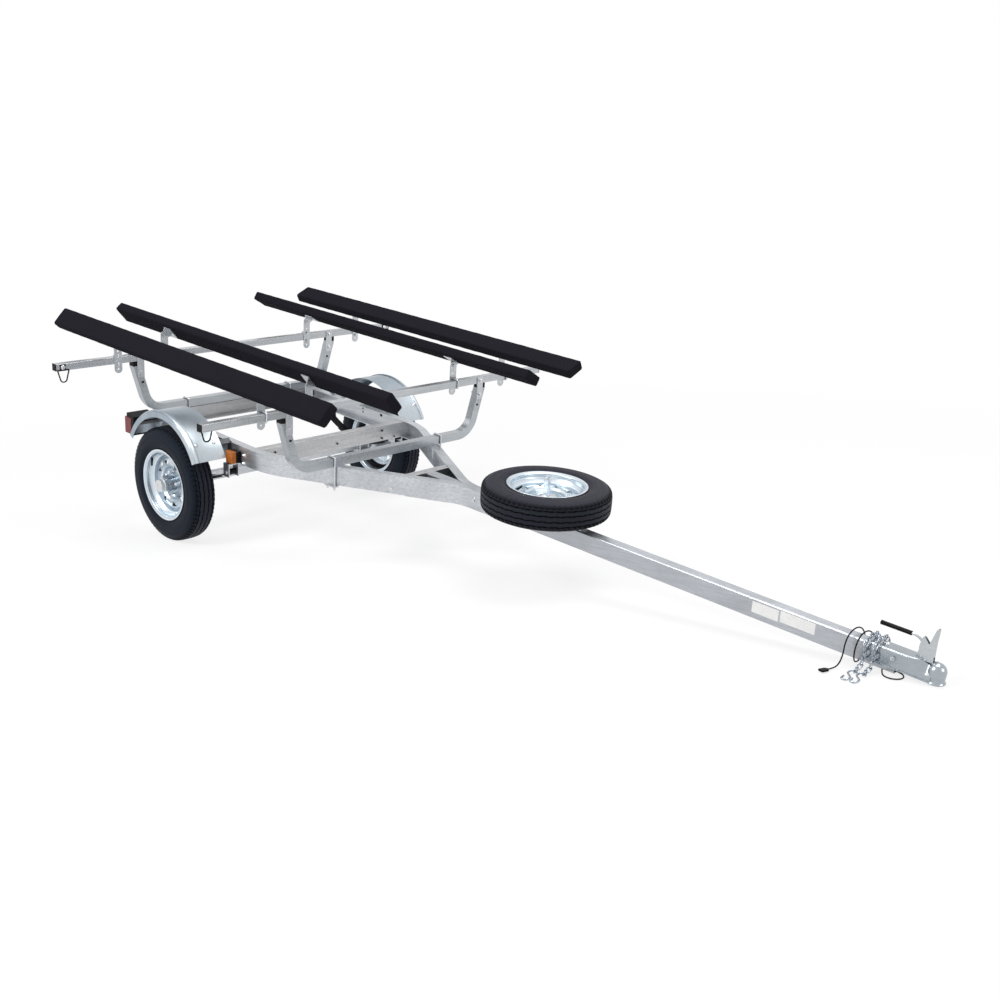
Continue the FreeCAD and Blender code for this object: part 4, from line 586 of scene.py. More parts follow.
# painted shade: the fender arms get a near-black zinc, for the shadow between fender and rail
ARM_PAINTED_SHADE_ZINC = zinc_finish("arm_painted_shade_finish", 0.10, 0.45, (0.95, 0.99, 1.05))
HUB_ZINC = zinc_finish("hub_finish", 0.40, 0.22, (0.93, 0.99, 1.06), 0.2, 0.05, 2.4, 300.0,
                       (4.0, 190.0, 4.0), metallic=0.97, relief=0.05)
STRIP_ZINC = zinc_finish("strip_finish", 0.56, 0.32, (0.95, 0.99, 1.03), 0.5, 0.15, 0.5, 240.0,
                         (120.0, 120.0, 20.0))
ZINC = zinc_finish("zinc_finish", 0.64, 0.24, (0.96, 0.98, 1.02), 0.4, 0.10, 0.5, 420.0,
                   metallic=0.97, relief=0.05)
CAP_ZINC = zinc_finish("hub_cap_finish", 0.68, 0.32, (0.97, 0.99, 1.0), 0.5, 0.10, 0.3, 420.0,
                       metallic=0.97, relief=0.03)
# painted shade: the chain's zinc is darker than the plain zinc, with strong patches standing for the shading of
# its links
CHAIN_ZINC = zinc_finish("chain_finish", 0.40, 0.20, (0.88, 0.98, 1.10), 0.3, 1.3, 0.4, 300.0,
                         metallic=0.98, relief=0.03)
COUPLER_ZINC = zinc_finish("coupler_finish", 0.42, 0.24, (0.91, 0.99, 1.06), 0.4, 0.03, 0.3, 320.0,
                           metallic=0.95, relief=0.02)
PALE_ZINC = zinc_finish("lever_finish", 0.52, 0.30, (0.95, 1.0, 1.04), 0.5, 0.04, 0.3, 300.0, relief=0.03)
WHEEL = wheel_finish("wheel_finish", -0.066)
LEFT_WHEEL = wheel_finish("left_wheel_finish", -0.038)
RUBBER = rubber_finish("tyre_rubber_finish", 0.0070, 0.0170, (0.45, 0.66, 1.0), False)
SPARE_RUBBER = rubber_finish("spare_rubber_finish", 0.0155, 0.0165, (0.60, 0.66, 0.85), True)
CARPET = carpet_finish()
BLACK_STEEL_AND_HOLE_SHADE = plastic_finish("black_steel_and_hole_shade_finish", 0.009, 0.36, 380.0)
BLACK_PLASTIC = plastic_finish("black_plastic_finish", 0.006, 0.44)
GREEN_PLASTIC = plastic_finish("valve_cap_finish", 0.03, 0.4, tint=(0.25, 1.0, 0.35))
RED = lens_finish("red_lens_finish", (0.07, 0.002, 0.005, 1.0), (0.21, 0.005, 0.012, 1.0))
AMBER = lens_finish("amber_lens_finish", (0.20, 0.040, 0.004, 1.0), (0.55, 0.17, 0.02, 1.0))
LABEL = paper_finish()
SHEATH = sheath_finish()

# Camera, at the photograph's place and angle
CAMERA_AT = (4.88927548, -3.62826431, 1.94636045)
AZIMUTH, RISE, ROLL = 0.712897197, 0.349883287, 0.0801539065
FOCAL_PIXELS, MIDDLE_PIXELS, FRAME_PIXELS = 1262.41072, (547.89836, 523.315042), 1000.0
SENSOR_MM, CLIP_END = 36.0, 60.0


def camera():
    """A level camera's back, right and up directions, rolled, then carried with the trailer."""
    back = np.array((math.sin(AZIMUTH) * math.cos(RISE), -math.cos(AZIMUTH) * math.cos(RISE), math.sin(RISE)))
    right = unit(np.cross(-back, UP))
    up = np.cross(right, -back)
    c, s = math.cos(ROLL), math.sin(ROLL)
    right, up = c * right + s * up, c * up - s * right
    data = bpy.data.cameras.new("camera")
    data.sensor_width = SENSOR_MM
    data.lens = SENSOR_MM * FOCAL_PIXELS / FRAME_PIXELS
    data.shift_x = (FRAME_PIXELS / 2 - MIDDLE_PIXELS[0]) / FRAME_PIXELS
    data.shift_y = (MIDDLE_PIXELS[1] - FRAME_PIXELS / 2) / FRAME_PIXELS
    data.clip_end = CLIP_END
    made = shown("camera", data)
    turn = Matrix(np.stack([placed(v) - AXLE for v in (right, up, back)], 1).tolist()).to_4x4()
    made.matrix_world = Matrix.Translation(Vector(placed(CAMERA_AT))) @ turn
    bpy.context.scene.camera = made


camera()

# Lamp wiring: the source's route, out of the tongue, twice round it and on to its plug
CORD_DIAMETER = 0.005
CORD_ROUTE = mm(
    (3312, -8, 154.5), (3338, -8.5, 154.5), (3357, -22, 153.8), (3360, -44, 153.3), (3345, -62, 151.5),
    (3320, -66, 148.5), (3296, -54, 145.3), (3280, -28, 143.6), (3264, 4, 142.6), (3246, 34, 139.4),
    (3222, 58, 137), (3202, 68, 158), (3194, 62, 196), (3192, 44, 232), (3190, 8, 250), (3188, -32, 246),
    (3188, -58, 216), (3188, -62, 176), (3186, -44, 146), (3182, -8, 138), (3176, 32, 142),
    (3166, 60, 168), (3158, 62, 206), (3154, 38, 238), (3152, 0, 250), (3150, -38, 240), (3150, -62, 210),
    (3152, -66, 170), (3150, -78, 138), (3146, -102, 127.4), (3138, -126, 127.8))
PLUG_LENGTH, PLUG_WIDTH, PLUG_THICK = 0.034, 0.026, 0.009
PLUG_STEP_SHARES = (0.0, 0.04, 0.12, 0.2, 0.26, 0.3, 0.34, 0.38, 0.42, 0.46, 0.5, 0.6, 0.75, 0.9, 0.97, 1.0)
PLUG_KNOT_SHARES = (0.0, 0.12, 0.26, 0.97, 1.0)
PLUG_WIDE_SHARES, PLUG_THICK_SHARES = (0.28, 0.55, 0.98, 0.98, 0.9), (0.7, 0.85, 0.98, 0.98, 0.85)


def plug():
    """Flat moulded plug: a rounded outline swelling from the cord to the shoulders, with grip ribs."""
    tip = CORD_ROUTE[-1]
    heading = unit(tip - CORD_ROUTE[-2])
    floor_up = (ALONG[2], 0.0, ALONG[0])
    side = unit(np.cross(heading, floor_up))
    up = np.cross(side, heading)
    t = np.array(PLUG_STEP_SHARES)
    wide = np.interp(t, PLUG_KNOT_SHARES, PLUG_WIDE_SHARES)
    thick = np.interp(t, PLUG_KNOT_SHARES, PLUG_THICK_SHARES)
    ribs = np.isin(np.arange(len(t)), (5, 7, 9)) * 0.06
    outline = rounded_box(0.5, 0.5, 0.32)
    rows = [tip + heading * PLUG_LENGTH * a + outline[:, :1] * side * PLUG_WIDTH * (w - r)
            + outline[:, 1:] * up * PLUG_THICK * (h - r) for a, w, h, r in zip(t, wide, thick, ribs)]
    return piece("plug", Shape().closed(rows), "frame", BLACK_PLASTIC, "black_plastic", "wiring_plug")


def wiring():
    """The cord is one smooth line drawn by the route's points."""
    data = bpy.data.curves.new("wiring", "CURVE")
    data.dimensions = "3D"
    line = data.splines.new("NURBS")
    route = placed(CORD_ROUTE)
    line.points.add(len(route) - 1)
    for point, at in zip(line.points, route):
        point.co = (*at, 1.0)
    line.order_u = 3
    line.use_endpoint_u = True
    data.resolution_u = 8
    data.bevel_depth = CORD_DIAMETER / 2
    data.bevel_resolution = 4
    data.use_fill_caps = True
    data.materials.append(SHEATH)
    made = shown("wiring", data)
    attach(made, "frame")
    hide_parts("wiring_cord")
    plug()


wiring()

# Wheels, drawn about their own axle with the outer side up; profiles are reach and rise
WHEEL_Y = 0.619
SPARE_AT = np.array((1.733, 0.0, 0.302))
TREAD_STEPS = 360
TREAD_CENTRE = mm((265.5, 0))
TREAD_HALF = mm(
    (152.8, 44), (152.8, 48), (164, 49.8), (166.2, 51.6), (170, 53.3), (172.5, 55), (176, 55.2), (179, 56.8),
    (185, 59), (193, 60.4), (206, 60.9), (208.5, 60.6), (210, 60.1), (220, 59.8), (230, 59), (235, 58),
    (239.5, 56.8), (241, 55.5), (248, 53), (253, 50.5), (257.5, 48), (260, 45), (262.2, 41), (263.2, 38),
    (263.8, 35), (259, 34.2), (259, 30.4), (264.5, 29.6), (265, 24), (265.3, 18), (265.3, 14.2),
    (260, 13.4), (260, 9.6), (265.5, 8.8), (265.5, 4.4))
TYRE_LINING = mm((152.8, -40), (230, -45), (248, -30), (248, 30), (230, 45), (152.8, 40))
RIM_FRONT = mm(
    (132, 15), (132.5, 18), (134.5, 20), (140, 25), (146, 32.5), (147.6, 36), (148, 44), (148.4, 49.5),
    (149.5, 52), (152, 53.6), (155.5, 54.5), (160, 56), (163.5, 57), (165, 56.8), (165.5, 56),
    (165.5, 54.5), (164, 53.1), (157.5, 52.7), (153, 50), (152, 43), (151.7, 33), (150, 30), (138, 19),
    (136, 16))
GROOVE_FROM, GROOVE_TO, GROOVE_WAVER, CREST_R, OPENING = 0.0085, 0.0345, 0.0014, 0.2635, 0.0026
GROOVE_EDGES = ((0.0350, 1), (0.0296, -1), (0.0142, 1), (0.0088, -1))
SHOULDER_FROM, SHOULDER_TO, SHOULDER_NOTCH = 0.0375, 0.0512, 0.0042
DISC_T = 0.0038
DISC_HEIGHTS = mm((33, 0), (68, 0), (74, 2), (82, 11), (89, 16.5), (100, 15.5), (111, 12.5), (122, 6),
                  (133, 0.5))
WINDOWS, WINDOW_R, WINDOW_SIZE, PATCH_R, PATCH_HALF = 8, 0.0990, 0.0088, 0.1055, 0.0255
HUB = mm((16.1, -55), (31, -55), (32, -54), (32, -9.5), (73, -9), (74, -8), (74, -1), (73, 0), (32.5, 0),
         (32.5, 53), (30, 54.5), (30, 58), (16.1, 58))
DUST_CAP = mm((29.5, 56.5), (31.8, 58), (31.8, 61), (29.2, 63), (28.8, 66), (29, 75), (28.3, 78), (26.2, 79.6),
              (20, 80), (9.5, 80), (9, 78.5), (6, 78.5))
NUT_FOOT = mm((9.8, 3.2), (10.4, 6), (9.6, 10))
NUT = mm((6, 7.5), (8.2, 7.8), (8.4, 9), (8.4, 26.5), (7.8, 28), (5.8, 29))
STUD_END = mm((5.2, 27), (5.2, 30), (4.4, 31))
STUDS, STUD_CIRCLE_R, STUD_TURN = 5, 0.05715, 0.22
VALVE, VALVE_CAP = mm((6, 0), (6, 3), (5.2, 6), (4.6, 24), (3.8, 29)), mm((4, 0), (4.3, 1), (4.3, 8), (3.5, 10))
VALVE_AT, VALVE_LEAN, VALVE_CAP_RISE = np.array((0.1470, 0.0, 0.0395)), unit((-0.88, 0.0, 0.47)), 0.0285
DISC_TURN = 16.0


def on_axle(side):
    """The wheel's own axle laid across the trailer, outer side outwards."""
    return lambda p: np.stack([p[:, 0], side * p[:, 2] + side * WHEEL_Y, -side * p[:, 1]], -1)


def on_tongue(p):
    """The spare wheel lying flat on its carrier."""
    return p + SPARE_AT


def axle_measures(side):
    """Reverse of a running wheel's place: distance from its axle, and height to its outer side."""
    return lambda p: (np.hypot(p[:, 0], p[:, 2]), side * p[:, 1] - WHEEL_Y)


def spare_measures(p):
    """The same for the spare wheel, whose axle stands upright."""
    p = p - SPARE_AT
    return np.hypot(p[:, 0], p[:, 1]), p[:, 2]


def mirrored(half):
    """A half profile followed by its mirror image, its last row first."""
    return np.concatenate([half, half[::-1] * (1, -1)])


def tyre():
    """Tyre wall and tread: a profile from bead to bead turned about the axle. Four grooves
    waver across the tread by a triangle wave, small notches open their edges every fifth
    step, and short notches cut both shoulders."""
    radius, across = np.concatenate([TREAD_HALF, TREAD_CENTRE, TREAD_HALF[::-1] * (1, -1)]).T
    angle = around(TREAD_STEPS)
    step = np.arange(TREAD_STEPS)
    out = np.abs(across)
    waver = np.abs((step % 10) / 5.0 - 1.0) * 2 - 1
    groove = (out < GROOVE_TO) & (out > GROOVE_FROM)
    opened = np.zeros(len(across))
    for edge, push in GROOVE_EDGES:
        opened += np.where((radius > CREST_R) & np.isclose(out, edge), push * OPENING * np.sign(across), 0.0)
    a = across[:, None] + groove[:, None] * waver * GROOVE_WAVER + opened[:, None] * (step % 5 == 2)
    shoulder = (out > SHOULDER_FROM) & (out < SHOULDER_TO)
    r = radius[:, None] - shoulder[:, None] * (step % 5 >= 3) * SHOULDER_NOTCH
    lining = np.repeat(TYRE_LINING[:, None], TREAD_STEPS, 1)
    points = np.concatenate([np.stack([r, a], -1), lining])
    points = np.concatenate([polar(points[..., 0], angle), points[..., 1:]], -1)
    return Shape().grid(points, loop_rows=True, loop_columns=True)


def dish(r):
    """Height of the wheel disc at a radius: flat at the hub, a raised ring, down to the well."""
    return np.interp(r, *DISC_HEIGHTS.T)


def window_patch(steps=64, rings=6):
    """One eighth of the disc's outer part: rings pass from a rounded triangular window, its
    point to the hub, out to the eighth's own edge, doubled for thickness with a turned lip.
    The window's radius blends its three sides by an eighth-power sum."""
    t = around(steps)
    sides = np.maximum(np.cos(t[:, None] - np.array((0.0, 2.0, -2.0)) * math.pi / 3), 0.0)
    corner = WINDOW_SIZE * (sides ** 8).sum(1) ** -0.125
    hole = polar(WINDOW_R + corner * np.cos(t), corner * np.sin(t) * 1.25 / WINDOW_R)
    half = math.pi / WINDOWS
    reach = np.minimum(PATCH_HALF / np.maximum(np.abs(np.cos(t)), 1e-6),
                       half * PATCH_R / np.maximum(np.abs(np.sin(t)), 1e-6))
    edge = polar(PATCH_R + np.clip(reach * np.cos(t), -PATCH_HALF, PATCH_HALF),
                 np.clip(reach * np.sin(t) / PATCH_R, -half, half))
    share = np.linspace(0, 1, rings)[:, None, None] ** 1.3
    flat = hole * (1 - share) + edge * share
    low = np.concatenate([flat, dish(np.linalg.norm(flat, axis=2))[..., None]], 2)
    top = low + (0.0, 0.0, DISC_T)
    lip = top[:1].copy()
    lip[..., :2] = hole * 0.98 + np.array((WINDOW_R, 0.0)) * 0.02
    lip[..., 2] -= 0.0012
    return np.concatenate([top[::-1], lip, low])


def disc_ring(radius, top, low):
    """A ring's section: rises over the dish outwards, then heights back inwards."""
    return np.concatenate([np.stack([radius, dish(radius) + top], -1), np.stack([radius, low], -1)[::-1]])


def rim():
    """Rim: a closed wall section turned about the axle, the dished disc with eight windows,
    and the weld that joins them."""
    shape = Shape().turned(mirrored(RIM_FRONT), 120, ring=True)
    patch = window_patch()
    for angle in around(WINDOWS):
        c, s = math.cos(angle), math.sin(angle)
        shape.grid(patch @ np.array(((c, s, 0), (-s, c, 0), (0, 0, 1))), loop_columns=True)
    middle = np.array((0.0332, 0.050, 0.066, 0.070, 0.073, 0.076, 0.078, 0.080))
    shape.turned(disc_ring(middle, DISC_T, dish(middle)), 96, ring=True)
    skirt = np.array((0.1305, 0.1322, 0.1326))
    shape.turned(disc_ring(skirt, (DISC_T, 0.0034, 0.0), (0.0, -0.003, -0.004)), 96, ring=True)
    return shape


def wheel_nuts():
    """Five tall six-sided nuts with coned feet on their studs."""
    shape = Shape()
    for angle in around(STUDS) + STUD_TURN:
        at = (math.cos(angle) * STUD_CIRCLE_R, math.sin(angle) * STUD_CIRCLE_R, 0.0)
        shape.turned(NUT_FOOT, 24, at)
        shape.turned(NUT, 24, at, UP, 6, angle)
        shape.turned(STUD_END, 16, at)
    return shape


def turned_about_axle(shape, degrees):
    """A wheel's part turned round by an angle, before the wheel is set in its place."""
    c, s = math.cos(math.radians(degrees)), math.sin(math.radians(degrees))
    return shape.moved(lambda p: np.stack([p[:, 0] * c - p[:, 1] * s, p[:, 0] * s + p[:, 1] * c, p[:, 2]], -1))


def wheels():
    """Each wheel's pieces: the hub barrel with its back flange and the pressed cap are profiles
    turned about the axle, and the valve is a tapered sleeve that leans in from the rim's wall."""
    stations = (("right", "wheel_right", on_axle(-1), axle_measures(-1), RUBBER, WHEEL, 141.0),
                ("left", "wheel_left", on_axle(1), axle_measures(1), RUBBER, LEFT_WHEEL, 35.0),
                ("spare", "frame", on_tongue, spare_measures, SPARE_RUBBER, WHEEL, 250.0))
    for label, body, change, measure, rubber, metal, clock in stations:
        spare = label == "spare"
        piece(label + "_tyre", tyre().moved(change), body, rubber, "tyre_rubber",
              "spare_tyre" if spare else "tyre_" + label, measure=measure)
        piece(label + "_rim", turned_about_axle(rim(), DISC_TURN).moved(change), body, metal, "wheel_metal",
              "spare_rim" if spare else "rim_" + label, measure=measure)
        stem = Shape().turned(VALVE, 16, VALVE_AT, VALVE_LEAN)
        cap = Shape().turned(VALVE_CAP, 16, VALVE_AT + VALVE_LEAN * VALVE_CAP_RISE, VALVE_LEAN, 8)
        for part, shape, finish in (("_valve", stem, BLACK_PLASTIC), ("_valve_cap", cap, GREEN_PLASTIC)):
            piece(label + part, turned_about_axle(shape, clock).moved(change), body, finish, "black_plastic")
        if not spare:
            barrel, dust_cap = Shape().turned(HUB, 64, ring=True), Shape().turned(DUST_CAP, 64)
            piece(label + "_hub_barrel", barrel.moved(change), body, HUB_ZINC, "zinc", "hub_" + label)
            piece(label + "_dust_cap", dust_cap.moved(change), body, CAP_ZINC, "zinc")
            piece(label + "_wheel_nuts", wheel_nuts().moved(change), body, ZINC, "zinc")


wheels()

# Bunk boards: padded boards wrapped in carpet, one per hinge; pivot Y and Z, tilt and rear end
BOARD_WIDTH, BOARD_THICK, BOARD_LENGTH, BOARD_NOSE, BOARD_STANDOFF = 0.095, 0.045, 2.020, 0.006, 0.025
BOARD_CORNER, BOARD_EASE, BOARD_ENDS = 0.0085, 0.0045, mm(0, 0.8, 2, 4, 6, 10, 20, 32)
WAVE_RISE, WAVE_SINK, SIDE_STEP, PLAIN_FROM, BOARD_STEPS = 0.00028, 0.0004, 0.008, 0.045, 84
BOARDS = ((-0.668, 0.593, -48.0, -0.797), (-0.426, 0.599, 50.0, -0.781),
          (0.407, 0.586, 31.0, -0.794), (0.731, 0.589, -25.5, -0.788))


def board(number, y, z, tilt, rear):
    """A rounded oblong section carried along the board; at its ends the width draws in for
    the blunted corners, and slow waves of a millimetre make the carpet lie unevenly. It is
    turned by its tilt towards the left side and set on its pivot line."""
    plain = np.linspace(PLAIN_FROM, BOARD_LENGTH - PLAIN_FROM, BOARD_STEPS)
    along = np.concatenate([BOARD_ENDS, plain, BOARD_LENGTH - BOARD_ENDS[::-1]])
    end = np.minimum(along, BOARD_LENGTH - along)
    wide = BOARD_WIDTH / 2 - np.clip(BOARD_NOSE - end, 0, BOARD_NOSE)
    ease = 1 - np.clip(end / BOARD_EASE, 0, 1)
    ease = 1 - BOARD_EASE * (1 - np.sqrt(1 - ease ** 2))[:, None] / (BOARD_THICK / 2)
    outline = rounded_box(BOARD_WIDTH / 2, BOARD_THICK / 2, BOARD_CORNER, 6)
    sides = []
    for a, b in zip(outline, np.roll(outline, -1, 0)):
        count = max(1, int(np.linalg.norm(b - a) / SIDE_STEP))
        sides.append(a + (b - a) * np.linspace(0, 1, count, endpoint=False)[:, None])
    outline = np.concatenate(sides)
    straight = BOARD_WIDTH / 2 - BOARD_CORNER
    inner = np.clip(np.abs(outline[:, 0]) - straight, 0, None) * np.sign(outline[:, 0])
    flat = (outline[:, 0] - inner) / straight
    u = (wide[:, None] - BOARD_CORNER) * flat + inner
    v = outline[:, 1] * ease
    x = along[:, None]
    wave = (np.sin(x * 31.0 + number * 1.7) * np.cos(flat * 3.1 + x * 9.0)
            + np.sin(x * 83.0 + flat * 5.0 + number)) * WAVE_RISE - WAVE_SINK
    p = u * ease + np.sign(u) * wave * (np.abs(outline[:, 0]) > 0.9 * BOARD_WIDTH / 2)
    q = BOARD_STANDOFF + BOARD_THICK / 2 + v + v / (BOARD_THICK / 2) * wave
    c, s = math.cos(math.radians(-tilt)), math.sin(math.radians(-tilt))
    shape = Shape().closed(np.stack([rear + x + 0 * u, p * c - q * s + y, p * s + q * c + z], -1))
    piece("board_%d" % number, shape, "bunk_%d" % number, CARPET, "carpet", "bunk_board_%d" % number,
          smooth=50.0)


for i, facts in enumerate(BOARDS):
    board(i + 1, *facts)

# Fenders
FENDER_R, FENDER_Z, FENDER_INNER, FENDER_OUTER, FENDER_T = 0.300, 0.042, 0.520, 0.680, 0.002
FENDER_ROLL, FENDER_LIP, FENDER_ENDS, FENDER_STEPS = 0.004, 0.026, (26.0, 154.0), 97


def fender(side):
    """A sheet section carried round the wheel: flat crown, a rolled ridge and shoulder, and a
    turned-down lip, with its own thickness, between two angles."""
    edge = FENDER_OUTER - FENDER_T
    shoulder, ridge = edge - 0.005, edge - 0.020
    high, low = FENDER_R + FENDER_ROLL, FENDER_R - FENDER_ROLL / 2
    corners = [(FENDER_R, FENDER_INNER), (FENDER_R, ridge - FENDER_ROLL), (high, ridge),
               (high, shoulder - FENDER_ROLL), (low, shoulder), (low, edge), (low - FENDER_LIP, edge)]
    band = banded(bend(corners, (0.0035, 0.0035, 0.004, 0.0035, 0.0022)), FENDER_T)
    angle = np.radians(np.linspace(*FENDER_ENDS, FENDER_STEPS))[:, None]
    points = np.stack([band[:, 0] * np.cos(angle), side * band[:, 1] + 0 * angle,
                       band[:, 0] * np.sin(angle) + FENDER_Z], -1)
    name = "fender_" + ("right" if side < 0 else "left")
    piece(name + "_sheet", Shape().sheet(points), "frame", FENDER_ZINC, "galvanised", name,
          measure=lambda p: (np.degrees(np.arctan2(p[:, 2] - FENDER_Z, p[:, 0])), side * p[:, 1]))


fender(-1)
fender(1)

# Fastenings: washers, hexagon heads, nuts with their thread ends, and flat rivets
BAR_Z, BAR_HALF, STAND_HALF, PLATE = 0.504, 0.015875, 0.019, 0.004
STRAP_Y, LEG_BOLT_Z, CLAMP_REACH, RIVET_Y = 0.5537, 0.436, 0.0043, (0.643, 0.554)
RAIL_Y, RAIL_BEND_X, RAIL_SLOPE, CROSS_X = 0.465, 0.485, 0.5548, 1.000


def bolt(shape, at, way, across=0.013, head=0.006, washer=0.011, thread=0.0):
    """A washer, a chamfered six-sided head and, for a nut, a stub of thread."""
    at, way = np.array(at, float), unit(way)
    shape.turned([(washer, 0.0), (washer, 0.0010), (washer * 0.94, 0.0015)], 20, at, way)
    at = at + way * 0.0014
    flat = across / 2
    shape.turned([(flat * 0.97, 0.0), (flat, head * 0.1), (flat, head * 0.86), (flat * 0.88, head)], 24, at,
                 way, 6)
    if thread:
        shape.turned([(flat * 0.56, head), (flat * 0.56, head + thread), (flat * 0.44, head + thread + 0.001)],
                     14, at, way)


def dome_bolt(shape, at, way, radius, height):
    """A low round head."""
    shape.turned(polar(1.0, np.linspace(0, math.pi / 2, 6))[:-1] * (radius, height), 20, at, way)


def fastenings():
    """Every bolt, nut and rivet of the frame, each a profile turned about its own line."""
    shape = Shape()
    for stand_x, bar_x, way, ring_y in ((-0.383, -0.379875, 1, 0.937), (0.757, 0.760125, -1, 0.923)):
        face = bar_x + way * (BAR_HALF + PLATE)
        for side in (-1, 1):
            for z, back in ((BAR_Z, bar_x - BAR_HALF), (LEG_BOLT_Z, stand_x - STAND_HALF)):
                bolt(shape, (stand_x + STAND_HALF + PLATE, side * STRAP_Y, z), FORWARD)
                bolt(shape, (back, side * STRAP_Y, z), (-1, 0, 0), thread=0.004)
            dome_bolt(shape, (face, side * ring_y, BAR_Z), (way, 0, 0), 0.0115, 0.0045)
        for board_y, *_ in BOARDS:
            for up in (1, -1):
                bolt(shape, (face, board_y, BAR_Z + up * (BAR_HALF + CLAMP_REACH)), (way, 0, 0),
                     0.0125, 0.0055, 0.0095, 0.003)
    for side in (-1, 1):
        for z in (0.169, 0.208):
            y = side * (RAIL_Y - (CROSS_X - RAIL_BEND_X) * RAIL_SLOPE)
            bolt(shape, (CROSS_X, y, z), (RAIL_SLOPE, side, 0), 0.016, 0.008, 0.013)
        for x in (1.356, 1.440):
            bolt(shape, (x, side * 0.0295, 0.187), (0, side, 0), 0.016, 0.008, 0.013)
        for x, z in ((0.331, 0.190), (0.327, 0.151)):
            bolt(shape, (x, side * RAIL_Y, z), (0, side, 0))
        for x, y, z in ((-0.383, 0.302, 0.143), (0.757, 0.3121, 0.139)):
            for reach in (-0.0233, 0.0233):
                bolt(shape, (x + reach, side * y, z), (0, 0, -1), 0.013, 0.007, 0.0095)
        for angle in np.radians((41.5, 138.5)):
            way = np.array((math.cos(angle), 0.0, math.sin(angle)))
            for y in RIVET_Y:
                dome_bolt(shape, FENDER_R * way + (0, side * y, FENDER_Z), way, 0.0105, 0.0045)
    piece("fastenings", shape, "frame", ZINC, "zinc")


fastenings()

# Chain: each link of the source becomes a round-wire ring of the same place and size
CHAIN_WIRE_R = 0.0023


def islands(node):
    """Separate bodies of a solid: corners that share a face take their lowest common number."""
    mesh = frame["nodes"][node].data
    spot, index = np.unique(np.round(corners_of(mesh), 6), axis=0, return_inverse=True)
    corner = np.empty(len(mesh.loops), int)
    mesh.loops.foreach_get("vertex_index", corner)
    faces = index.reshape(-1)[corner].reshape(-1, 3)
    label = np.arange(len(spot))
    while True:
        lowest = label[faces].min(1)
        fresh = label.copy()
        for k in range(3):
            np.minimum.at(fresh, faces[:, k], lowest)
        if (fresh == label).all():
            return [spot[label == n] for n in np.unique(label)]
        label = fresh


def chain_links():
    """A circle of wire carried round a stadium: two straights and two half circles, laid along
    the longest and second longest directions of the link it stands for."""
    shape = Shape()
    t = around(28)[:, None]
    for link in islands("safety_chain"):
        middle = link.mean(0)
        ways = np.linalg.eigh(np.cov((link - middle).T))[1]
        long_way, wide_way = ways[:, 2], ways[:, 1]
        half_long, half_wide = [((link - middle) @ way).max() - CHAIN_WIRE_R for way in (long_way, wide_way)]
        path = (np.cos(t) * half_wide * long_way + np.sin(t) * half_wide * wide_way
                + np.sign(np.cos(t)) * (half_long - half_wide) * long_way + middle)
        shape.tube(path, CHAIN_WIRE_R, 10, np.cross(long_way, wide_way), ring=True)
    piece("chain_links", shape, "frame", CHAIN_ZINC, "zinc", "safety_chain", smooth=60.0, standing=True)


chain_links()

# Coupler, its latch lever and grip
HEAD_Z, BALL_X, BALL_Z, SHELL_T = 0.228, 3.453, 0.203, 0.0028
SHELL_X = np.concatenate([np.linspace(3.203, 3.352, 6), np.linspace(3.358, 3.4465, 36)])
FOLD_FROM, FOLD_RUN, DIP_FROM, DIP_RUN, DIP = 3.362, 0.064, 3.398, 0.0305, 0.0077
FLARE_Y, SIDE_Y, FOOT_Z, SHOULDER_Z, ROOF_Y = 0.0365, 0.0285, 0.1690, 0.2150, 0.0284
SHOULDER_DROP, ROOF_NARROWS, ROOF_R, ROOF_REACH = 0.0300, 0.0204, 0.0300, 0.0245
BULGE_R, BULGE_REACH, BULGE_FOOT_Z, CUP_R, DOME_R, DOME_HIGH = 0.0290, 0.0255, 0.172, 0.0258, 0.0313, 0.0305
SHELL_BENDS = (0.003, 0.005, 0.005, 0.003, 0.005, 0.005, 0.003)
BALL_FOOT = mm((30.8, 193.5), (29.7, 184), (29.1, 177), (30, 172.6), (32.2, 170), (33, 169), (33, 165.8),
               (32.6, 165), (26.4, 165), (25.8, 165.6))


def smooth_step(x, start, length):
    """0 up to a start, 1 after a length, and a cubic between."""
    s = min(max((x - start) / length, 0.0), 1.0)
    return s * s * (3 - 2 * s)


